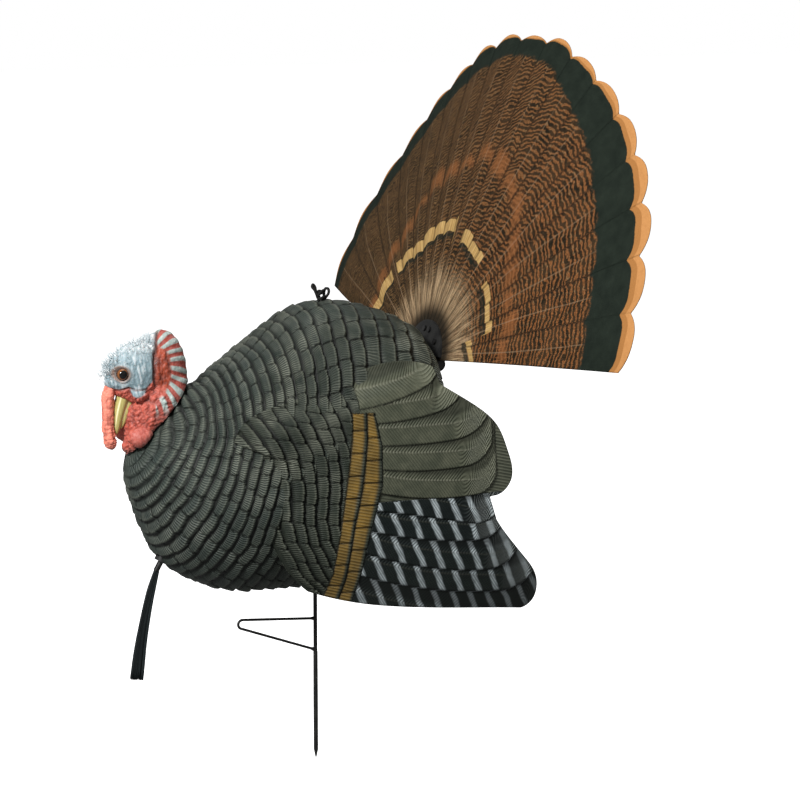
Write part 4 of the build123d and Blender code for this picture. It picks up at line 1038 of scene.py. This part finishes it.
def head_skin(p):
    """Displacement in mm and colour of the head by place. xs and zs are the side-view place of a point."""
    x, y, z = p.T
    side = np.abs(y)
    xs, zs = x + 0.45 * side, z - 0.19 * side
    eye = np.hypot(x - EYE_X, z - EYE_Z) + 99 * (side < 6)
    lobe = 9.0 - np.hypot(xs + 201, zs - 303)
    jaw = np.interp(xs, (-250, -236, -222, -212, -204, -192, -183), (308, 306, 304, 306, 303, 303, 312))
    face = np.maximum(smooth(zs, jaw - 1.2, jaw + 1.2), smooth(lobe, -1.2, 1.2))
    face = face * (1 - smooth(xs, -183.5, -181.0))
    hood = smooth(xs, -182.0, -179.5) * smooth(z, 286 - 0.5 * (xs + 150), 300 - 0.5 * (xs + 150))
    # The groove behind the face is pressed in and painted near-black further down: painted shade in the
    # recess.
    groove = ridge(xs + 181.8, 2.2) * smooth(zs, 300, 310)
    ring = np.hypot(xs + 190, (zs - 320) * 0.80)
    rim = smooth(ring + 1.5 * noise3(p, 7.0, 9), 25.0, 28.5) * smooth(xs, -182, -180) * smooth(zs, 268, 284)
    around = np.degrees(np.arctan2(zs - 322, xs + 200))
    stripes = 0.5 + 0.5 * np.sin(np.radians(around) * 27 + 0.16 * (ring - 25) + 1.3 * noise3(p, 14.0, 3))
    wattle = np.exp(-((np.hypot((x + 208) / 14.5, (z - 255) / 12.5)) ** 6)) * (side > 12)
    throat = (1 - face) * (1 - hood)
    folds = ridged(np.stack([xs * 0.9 + 0.5 * zs, y * 0.8, 1.3 * zs - 0.65 * xs], -1), 8.5, 71)
    tall = ridged(np.stack([xs * 1.35, y, zs * 0.75], -1), 8.0, 81)
    scratch = ridged(np.stack([xs * 1.6 + 0.3 * zs, y, zs * 0.5], -1), 6.0, 91)
    push = throat * (1 - wattle) * (3.1 * folds - 1.4) + hood * (1 - rim) * (2.0 * tall - 1.0)
    push += rim * (0.8 * stripes - 0.2) + face * (0.9 * scratch - 0.4) - 3.4 * groove
    push += 0.21 * wattle * np.sin((x + 0.3 * z) * 1.1)
    # The crease along the jaw is pressed in and painted dark further down: painted shade.
    lip = (1 - smooth(np.abs(zs - jaw + 1.0), 0.0, 2.2)) * (xs < -187)
    push -= 1.6 * lip
    push += 1.5 * ridge(eye - 8.3, 1.5) - 2.2 * smooth(-eye, -7.0, -5.0)
    grain = fbm(p, 3.0, 15)
    push += 0.18 * grain
    push += 0.6 * fbm(p, 20.0, 25) * throat

    def tone(dark, light, amount):
        return np.array(dark) + (np.array(light) - np.array(dark)) * np.clip(amount, 0, 1)[:, None]

    def over(below, above, mask):
        return below + (np.array(above) - below) * mask[:, None]

    # Coral and the inner crest go dark in the creases of their wrinkles: painted shade following the relief.
    coral = tone((0.15, 0.020, 0.014), (0.66, 0.130, 0.085), 1.5 * folds + 0.05 + 0.15 * grain)
    ball = tone((0.50, 0.090, 0.065), (0.76, 0.20, 0.15), 0.5 + 0.4 * fbm(p, 6.0, 33))
    inner = tone((0.075, 0.012, 0.008), (0.50, 0.085, 0.038), 1.5 * tall + 0.1 * grain)
    pale = tone((0.36, 0.46, 0.42), (0.62, 0.70, 0.66), 0.5 + 0.5 * grain)
    red = tone((0.34, 0.050, 0.038), (0.56, 0.12, 0.085), 0.5 + 0.5 * grain)
    # The face's blue is lighter on the raised scratches and darker between them, and the crown mask adds
    # white flecks on the highest scratches: painted highlight and shade over the real blue face and white
    # crown.
    blue = tone((0.10, 0.175, 0.20), (0.36, 0.49, 0.54), 0.25 + 0.9 * scratch + 0.12 * grain)
    white = tone((0.42, 0.52, 0.55), (0.88, 0.90, 0.90), scratch * 1.2 + 0.3 * grain)
    crown = smooth(zs, 330, 352) * 0.65 + 0.5 * smooth(-xs, 236, 243)
    crown = np.clip(crown + 0.5 * smooth(scratch, 0.55, 0.8) * (fbm(p, 9.0, 5) > 0.1), 0, 1)
    # Darker near the neck ring, where the head meets it: painted shade.
    near_collar = 1 - smooth((p - NECK) @ NECK_OUT, 2.0, 10.0)
    paint = coral
    for above, mask in (
        (ball, wattle > 0.5), (inner, hood), (over(red, pale, smooth(stripes, 0.42, 0.62)), rim),
        # The near-black coats for the groove and the jaw crease are painted shade.
        (over(blue, white, crown), face), ((0.09, 0.028, 0.020), 0.9 * groove),
        ((0.12, 0.03, 0.02), 0.7 * lip), ((0.30, 0.13, 0.06), 0.75 * ridge(eye - 7.2, 1.6)),
        ((0.50, 0.56, 0.58), 0.4 * ridge(eye - 10.2, 1.3)),
        ((0.05, 0.03, 0.025), 0.65 * near_collar),
    ):
        paint = over(paint, above, mask)
    return push, np.clip(paint, 0, 1)


def head_material():
    m = Mat("head_paint", 0.45, Subsurface_Weight=0.04, Subsurface_Radius=(0.006, 0.002, 0.001))
    paint = m.attr_color("paint")
    speck = m.noise(420, 4)
    darker, lighter = (m.mix(0.25, paint, tone) for tone in ((0.0, 0.0, 0.0), (1.0, 1.0, 1.0)))
    m.color(m.mix(m.mul(m.step(speck, 0.35, 0.7), 0.22), darker, lighter))
    m.roughness(m.scaled(m.noise(160, 3), 0.3, 0.30))
    m.bump(m.voronoi(420), 0.00028)
    m.bump(speck, 0.0002)
    return m.mat


SNOOD_LENGTH = 75.0
SNOOD_LINE = (
    (-224, 0, 315), (-233, 0, 309), (-237, 0, 298), (-238, 0, 280), (-237.5, 0, 262), (-236, 0, 250),
    (-233, 0, 240),
)
SNOOD_RADII = ((0, 0.12, 0.3, 0.75, 0.86, 0.94, 0.985, 1), (4.5, 6.5, 6.4, 6.2, 6.8, 5.4, 2.6, 0.6))
# Each half of the bill: name, line of its middle, radius at the root and how blunt the tip is.
BILL_HALVES = (
    ("bill_upper", ((-213, 0, 310), (-219, 0, 298), (-224.5, 0, 281), (-227.5, 0, 266), (-229, 0, 256)),
     12.0, 0.25),
    ("bill_lower", ((-205, 0, 304), (-212, 0, 293), (-217.5, 0, 279), (-221, 0, 269), (-224, 0, 262)),
     9.5, 0.2),
)


def make_snood():
    """The fleshy snood hanging over the bill."""
    count, sides = 150, 64
    t = np.linspace(0, 1, count)
    turn = np.linspace(0, TAU, sides, endpoint=False)
    along, around = np.meshgrid(t * SNOOD_LENGTH, turn, indexing="ij")
    probe = np.stack([np.cos(around) * 6, np.sin(around) * 6, along], -1)
    bumps = 1 + 0.26 * (ridged(probe, 6.0, 44) - 0.4) + 0.012 * np.sin(along * 1.6 + np.sin(around))
    bumps = bumps - 0.13 * (ridge(t - 0.80, 0.012) + ridge(t - 0.88, 0.01))[:, None]
    radii = np.interp(t, *SNOOD_RADII)
    verts, faces = sweep(curve_points(SNOOD_LINE, count), radii, sides, squash_y=1.05, bumps=bumps)
    snood = new_mesh("snood", verts, faces, {"swell": np.append(bumps.ravel(), [1, 1])})
    m = Mat("snood_paint", 0.42, Subsurface_Weight=0.05, Subsurface_Radius=(0.006, 0.002, 0.001))
    # Dark in the creases between the swellings and light on them: painted shade following the relief.
    skin = m.mix(m.step(m.attr("swell"), 0.9, 1.06), (0.34, 0.065, 0.045), (0.84, 0.24, 0.165))
    m.color(m.mix(m.mul(m.noise(260, 4), 0.3), skin, (0.92, 0.42, 0.32)))
    m.roughness(m.scaled(m.noise(200, 3), 0.3, 0.28))
    m.bump(m.voronoi(380), 0.0003)
    dress(snood, m.mat, "head", "head_rubber")


def bill_material():
    """Olive horn with a painted highlight in a pale band along each side, and dark cutting edges."""
    m = Mat("bill_paint", 0.35)
    grain = m.noise(1.0, 4, m.stretch(m.position(), (900, 900, 120)))
    m.color(m.layers(
        m.mix(grain, (0.30, 0.26, 0.075), (0.62, 0.56, 0.22)),
        # Pale band along each side: a painted highlight.
        (m.step(m.attr("ridge"), 0.55, 0.95), (0.85, 0.80, 0.50)),
        (m.step(m.attr("edge"), 0.6, 1.0), (0.14, 0.10, 0.05)),
    ))
    m.roughness(m.scaled(grain, 0.25, 0.25))
    m.bump(grain, 0.00025)
    return m.mat


def make_bill():
    """The two halves of the bill."""
    count, sides = 70, 40
    t = np.linspace(0, 1, count)
    along, turn = np.meshgrid(t, np.linspace(0, TAU, sides, endpoint=False), indexing="ij")
    flat = 1 - 0.25 * np.maximum(0, np.cos(turn))
    # A pale band along each side of the bill, for a painted highlight.
    pale = np.exp(-((np.abs(np.sin(turn)) - 0.8) ** 2) / 0.02) * (0.3 + 0.7 * np.sin(math.pi * along))
    edge = np.exp(-((1 - np.abs(np.cos(turn))) ** 2) / 0.002)
    masks = {"ridge": np.append(pale.ravel(), [0, 0]), "edge": np.append(edge.ravel(), [0, 0])}
    horn = bill_material()
    for name, line, wide, blunt in BILL_HALVES:
        radii = wide * (1 - t) ** 0.75 * (1 - blunt) + 0.1
        radii += wide * blunt * np.sqrt(np.clip(1 - t**6, 0, 1)) * 0.9
        verts, faces = sweep(curve_points(line, count), radii * 0.9, sides, squash_y=0.95, bumps=flat)
        dress(new_mesh(name, verts, faces, masks), horn, "head", "head_rubber")


CROWN_LINE = ((-241, 0, 322), (-236, 0, 336), (-225, 0, 346), (-210, 0, 354), (-196, 0, 358), (-190, 0, 360))


def make_bristles():
    """Short pale bristles standing on the crown."""
    count, points = 60, 5
    crown = curve_points(CROWN_LINE, count)
    tubes = []
    for _ in range(420):
        k = int(rng.integers(0, count - 1))
        sideways = float(rng.normal(0, 8.5))
        root = crown[k] + [0, sideways, -0.022 * sideways**2 - 2.5]
        out = np.array([-0.55 + 0.55 * k / (count - 1), 0.03 * sideways, 0.75]) + rng.normal(0, 0.22, 3)
        out /= np.linalg.norm(out)
        length = float(rng.uniform(4, 9.5))
        bend = rng.normal(0, 1.2, 3)
        path = np.array([root + out * length * f + bend * f**2 for f in np.linspace(0, 1, points)])
        tubes.append((path, np.linspace(0.42, 0.08, points), 4))
    obj = bundle("crown_bristles", tubes)
    m = Mat("bristle", 0.5)
    m.color(m.mix(m.attr("tone"), (0.36, 0.46, 0.50), (0.90, 0.92, 0.92)))
    m.bump(m.noise(900, 2), 0.0001)
    dress(obj, m.mat, "head", "head_rubber")


# ---------------------------------------------------------------- beard and cord
def make_beard():
    """The flat hanging brush of coarse black fibres."""
    middle = curve_points(((-184.5, 0, 107), (-195, 0, 72), (-204, 0, 28), (-211, 0, -18)), 16)
    t = np.linspace(0, 1, 16)
    across = np.cross(unit(np.gradient(middle, axis=0)), [0, 1.0, 0])
    half = np.interp(t, (0, 0.25, 1), (2.2, 4.0, 6.6))
    tubes = []
    for k in range(210):
        a, b = rng.uniform(-1, 1), rng.uniform(-1, 1)
        stop = 1 - 0.035 * rng.random() * (k % 3 != 0) - 0.01
        wave = 0.5 * np.sin(t * rng.uniform(3, 8) + rng.uniform(0, 6)) * t
        path = middle + across * (a * half + wave)[:, None] + np.array([0, 1, 0]) * (b * half * 0.42)[:, None]
        path = path[0] + (path - path[0]) * stop
        radii = np.interp(t, (0, 0.1, 0.9, 1), (0.35, 0.5, 0.5, 0.22))
        tubes.append((path, radii, 5))
    core = np.interp(t, (0, 0.25, 0.97, 1), (2.0, 3.0, 4.6, 3.0))
    tubes.append((middle[0] + (middle - middle[0]) * 0.965, core * 0.55, 12))
    obj = bundle("beard_strands", tubes)
    m = Mat("beard_hair", 0.42)
    fine = m.noise(1.0, 3, m.stretch(m.position(), (1800, 1800, 60)))
    m.color(m.mix(m.mul(m.attr("tone"), fine), (0.0045, 0.006, 0.0065), (0.030, 0.042, 0.044)))
    m.roughness(m.scaled(fine, 0.3, 0.32))
    m.bump(fine, 0.0001)
    dress(obj, m.mat, "beard", "beard_fibre", "beard_fibres")


def twisted(knots, radius, count=90, turns=9, strands=3):
    """A laid cord: strands wound round a smooth line."""
    line = curve_points(knots, count)
    tangent = unit(np.gradient(line, axis=0))
    side = unit(np.cross(tangent, [0.31, 0.82, 0.48]))
    other = np.cross(tangent, side)
    phase = np.linspace(0, TAU * turns, count)
    tubes = []
    for k in range(strands):
        a = phase + TAU * k / strands
        path = line + (np.cos(a)[:, None] * side + np.sin(a)[:, None] * other) * radius * 0.5
        tubes.append((path, np.full(count, radius * 0.56), 8))
    return tubes


# The cord's two standing loops and the knot between them, measured from the knot's place on the back.
KNOT = np.array([8.0, 0.0, 386.0])
CORD_LINES = (
    ((-1, 0, -12), (-1, 0, -2), (-4, -1, 6), (-7, -1, 13), (-9.5, 0, 16.5), (-8, 1.5, 19), (-5.5, 1.5, 16),
     (-4, 1, 9), (-1, 0, 5)),
    ((1.5, 0, -12), (2, 0, -1), (5.5, -1.5, 4), (9.5, -1, 9), (9.5, 0, 13.5), (6.5, 1.5, 13.5), (5, 1.5, 8.5),
     (4.5, 1, 3.5), (2, 0, 3)),
    ((-4, -2, 7), (-1, -4, 11), (3, -2, 12.5), (3.5, 2, 10), (-0.5, 3.5, 7), (-3, 1, 5), (-1, -3.5, 4),
     (4, -2.5, 6.5), (4, 2, 9), (0, 2.5, 11.5), (-3.5, 0.5, 10)),
)


def make_cord():
    """The knotted cord that keeps the tube and the stake together."""
    tubes = []
    for line in CORD_LINES:
        tubes += twisted(KNOT + line, 1.55)
    obj = bundle("cord_knot", tubes)
    m = Mat("cord_fibre", 0.75)
    fine = m.noise(1400, 3)
    m.color(m.mix(fine, (0.004, 0.004, 0.004), (0.022, 0.022, 0.021)))
    m.roughness(m.scaled(fine, 0.3, 0.6))
    m.bump(fine, 0.0002)
    dress(obj, m.mat, "torso", "cord", "retaining_cord")


# ---------------------------------------------------------------- plain CAD parts
def eye_material():
    """Brown glass eye with a black pupil, drawn by the distance from its middle."""
    m = Mat("eye_glass", 0.08, Coat_Weight=0.6)
    x, _, z = m.split(m.position())
    dx = m.minus(x, EYE_X * MM)
    dz = m.minus(z, (EYE_Z + LIFT) * MM)
    away = m.mul(m.math("SQRT", m.add(m.mul(dx, dx), m.mul(dz, dz))), 1 / MM)
    streak = m.noise(1500, 3)
    iris = m.mix(streak, (0.10, 0.030, 0.008), (0.36, 0.13, 0.035))
    color = m.mix(m.step(away, 4.3, 4.9, invert=True), iris, (0.002, 0.002, 0.002))
    m.color(m.mix(m.step(away, 5.6, 6.4), color, (0.05, 0.02, 0.012)))
    m.roughness(m.scaled(streak, 0.05, 0.05))
    m.bump(streak, 0.00002)
    return m.mat


# Plain finishes: dark tone, light tone, roughness, then grain size, bump height, metallic and worn tone.
FINISHES = {
    "black_powder_coat": (
        (0.006, 0.006, 0.006), (0.020, 0.020, 0.019), 0.42, 1400, 0.00025, 0.0, (0.05, 0.045, 0.04)),
    "rib_steel": ((0.04, 0.04, 0.038), (0.12, 0.12, 0.115), 0.4, 900, 0.0001, 0.7),
    "moulded_olive": ((0.030, 0.038, 0.028), (0.060, 0.070, 0.052), 0.5),
    "black_plastic": ((0.008, 0.008, 0.008), (0.022, 0.022, 0.022), 0.45),
    "dark_grey_plastic": ((0.008, 0.008, 0.008), (0.020, 0.020, 0.019), 0.6),
    "nut_plastic": ((0.012, 0.012, 0.013), (0.034, 0.034, 0.035), 0.36),
    "black_oxide_steel": (
        (0.020, 0.020, 0.021), (0.055, 0.054, 0.052), 0.34, 700, 0.00008, 0.8, (0.16, 0.15, 0.14)),
    "rubber": ((0.010, 0.010, 0.010), (0.024, 0.023, 0.022), 0.78, 1100, 0.0002),
    "ferrule_metal": ((0.012, 0.012, 0.012), (0.04, 0.04, 0.038), 0.4, 800, 0.0001, 0.6),
}
PLAIN_NODES = {
    "black_powder_coat": ("ground_stake", "foot_step"),
    "moulded_olive": ("belly_plate",),
    "black_plastic": ("stake_tube", "top_block", "neck_ring", "beard_socket", "neck_insert"),
    "dark_grey_plastic": ("fan_bracket", "fan_hub", "clamp_plate"),
    "nut_plastic": ("wing_nut",),
    "black_oxide_steel": (
        "wing_screws", "belly_screws", "beard_pin", "bracket_screws", "pivot_bolt", "clamp_screws",
        "neck_screw"),
    "rubber": ("friction_washers", "neck_washer"),
    "ferrule_metal": ("beard_ferrule",),
}


def finish_cad_parts():
    """Materials for the CAD nodes that show as they are."""
    finishes = [(simple_material(name, *FINISHES[name]), nodes) for name, nodes in PLAIN_NODES.items()]
    finishes.append((eye_material(), ("left_eye", "right_eye")))
    for material, nodes in finishes:
        for node in nodes:
            NODES[node].data.materials.clear()
            NODES[node].data.materials.append(material)


# ---------------------------------------------------------------- studio
def aim(obj, place, target):
    obj.location = place
    obj.rotation_euler = (Vector(target) - Vector(place)).to_track_quat("-Z", "Y").to_euler()


FLOOR_HALF, FLOOR_LEVEL = 14.0, -0.1240
CAMERA_PLACE, CAMERA_TARGET = (-1.1323, -2.7336, 0.8036), (0.0859, -0.0397, 0.2857)
LAMP_TARGET = (0, 0, 0.25)
# Lamps: name, place in metres, watts and size.
LAMPS = (
    ("key", (-2.1, -1.5, 2.1), 122, 0.55), ("top", (0.2, 0.2, 2.8), 16, 1.6),
    ("rim", (1.9, 1.2, 1.6), 14, 1.2),
)


def make_floor():
    """A floor that looks white to the camera but throws little light back."""
    mesh = bpy.data.meshes.new("floor")
    corners = [(x * FLOOR_HALF, y * FLOOR_HALF, FLOOR_LEVEL) for x, y in ((-1, -1), (1, -1), (1, 1), (-1, 1))]
    mesh.from_pydata(corners, [], [(0, 1, 2, 3)])
    floor = link("floor", mesh)
    m = Mat("floor_paint", 0.9)
    seen = m.node("ShaderNodeLightPath").outputs["Is Camera Ray"]
    m.color(m.mix(seen, (0.22, 0.22, 0.22), (0.90, 0.90, 0.90)))
    m.bump(m.noise(40, 3), 0.0002)
    m.plug((1.0, 1.0, 1.0), m.bsdf.inputs["Emission Color"])
    m.plug(m.mul(seen, 0.72), m.bsdf.inputs["Emission Strength"])
    mesh.materials.append(m.mat)


def studio():
    """White surroundings, three lamps and the camera."""
    make_floor()
    world = bpy.data.worlds.new("studio")
    world.use_nodes = True
    tree = world.node_tree
    background = tree.nodes["Background"]
    background.inputs["Color"].default_value = (1, 1, 1, 1)
    level = tree.nodes.new("ShaderNodeMapRange")
    level.inputs["To Min"].default_value = 0.36
    level.inputs["To Max"].default_value = 1.0
    seen = tree.nodes.new("ShaderNodeLightPath").outputs["Is Camera Ray"]
    tree.links.new(seen, level.inputs["Value"])
    tree.links.new(level.outputs["Result"], background.inputs["Strength"])
    bpy.context.scene.world = world
    for name, place, watts, size in LAMPS:
        light = bpy.data.lights.new(name, "AREA")
        light.energy = watts
        light.size = size
        aim(link(name, light), place, LAMP_TARGET)
    camera_data = bpy.data.cameras.new("camera")
    camera_data.lens = 122.7
    camera_data.sensor_width = 36
    camera = link("camera", camera_data)
    aim(camera, CAMERA_PLACE, CAMERA_TARGET)
    bpy.context.scene.camera = camera
    bpy.context.scene.view_settings.view_transform = "Standard"


make_torso()
paint = wing_material()
make_wing("left", -1, paint)
make_wing("right", 1, paint)
make_fan()
make_head()
make_snood()
make_bill()
make_bristles()
make_beard()
make_cord()
finish_cad_parts()
studio()
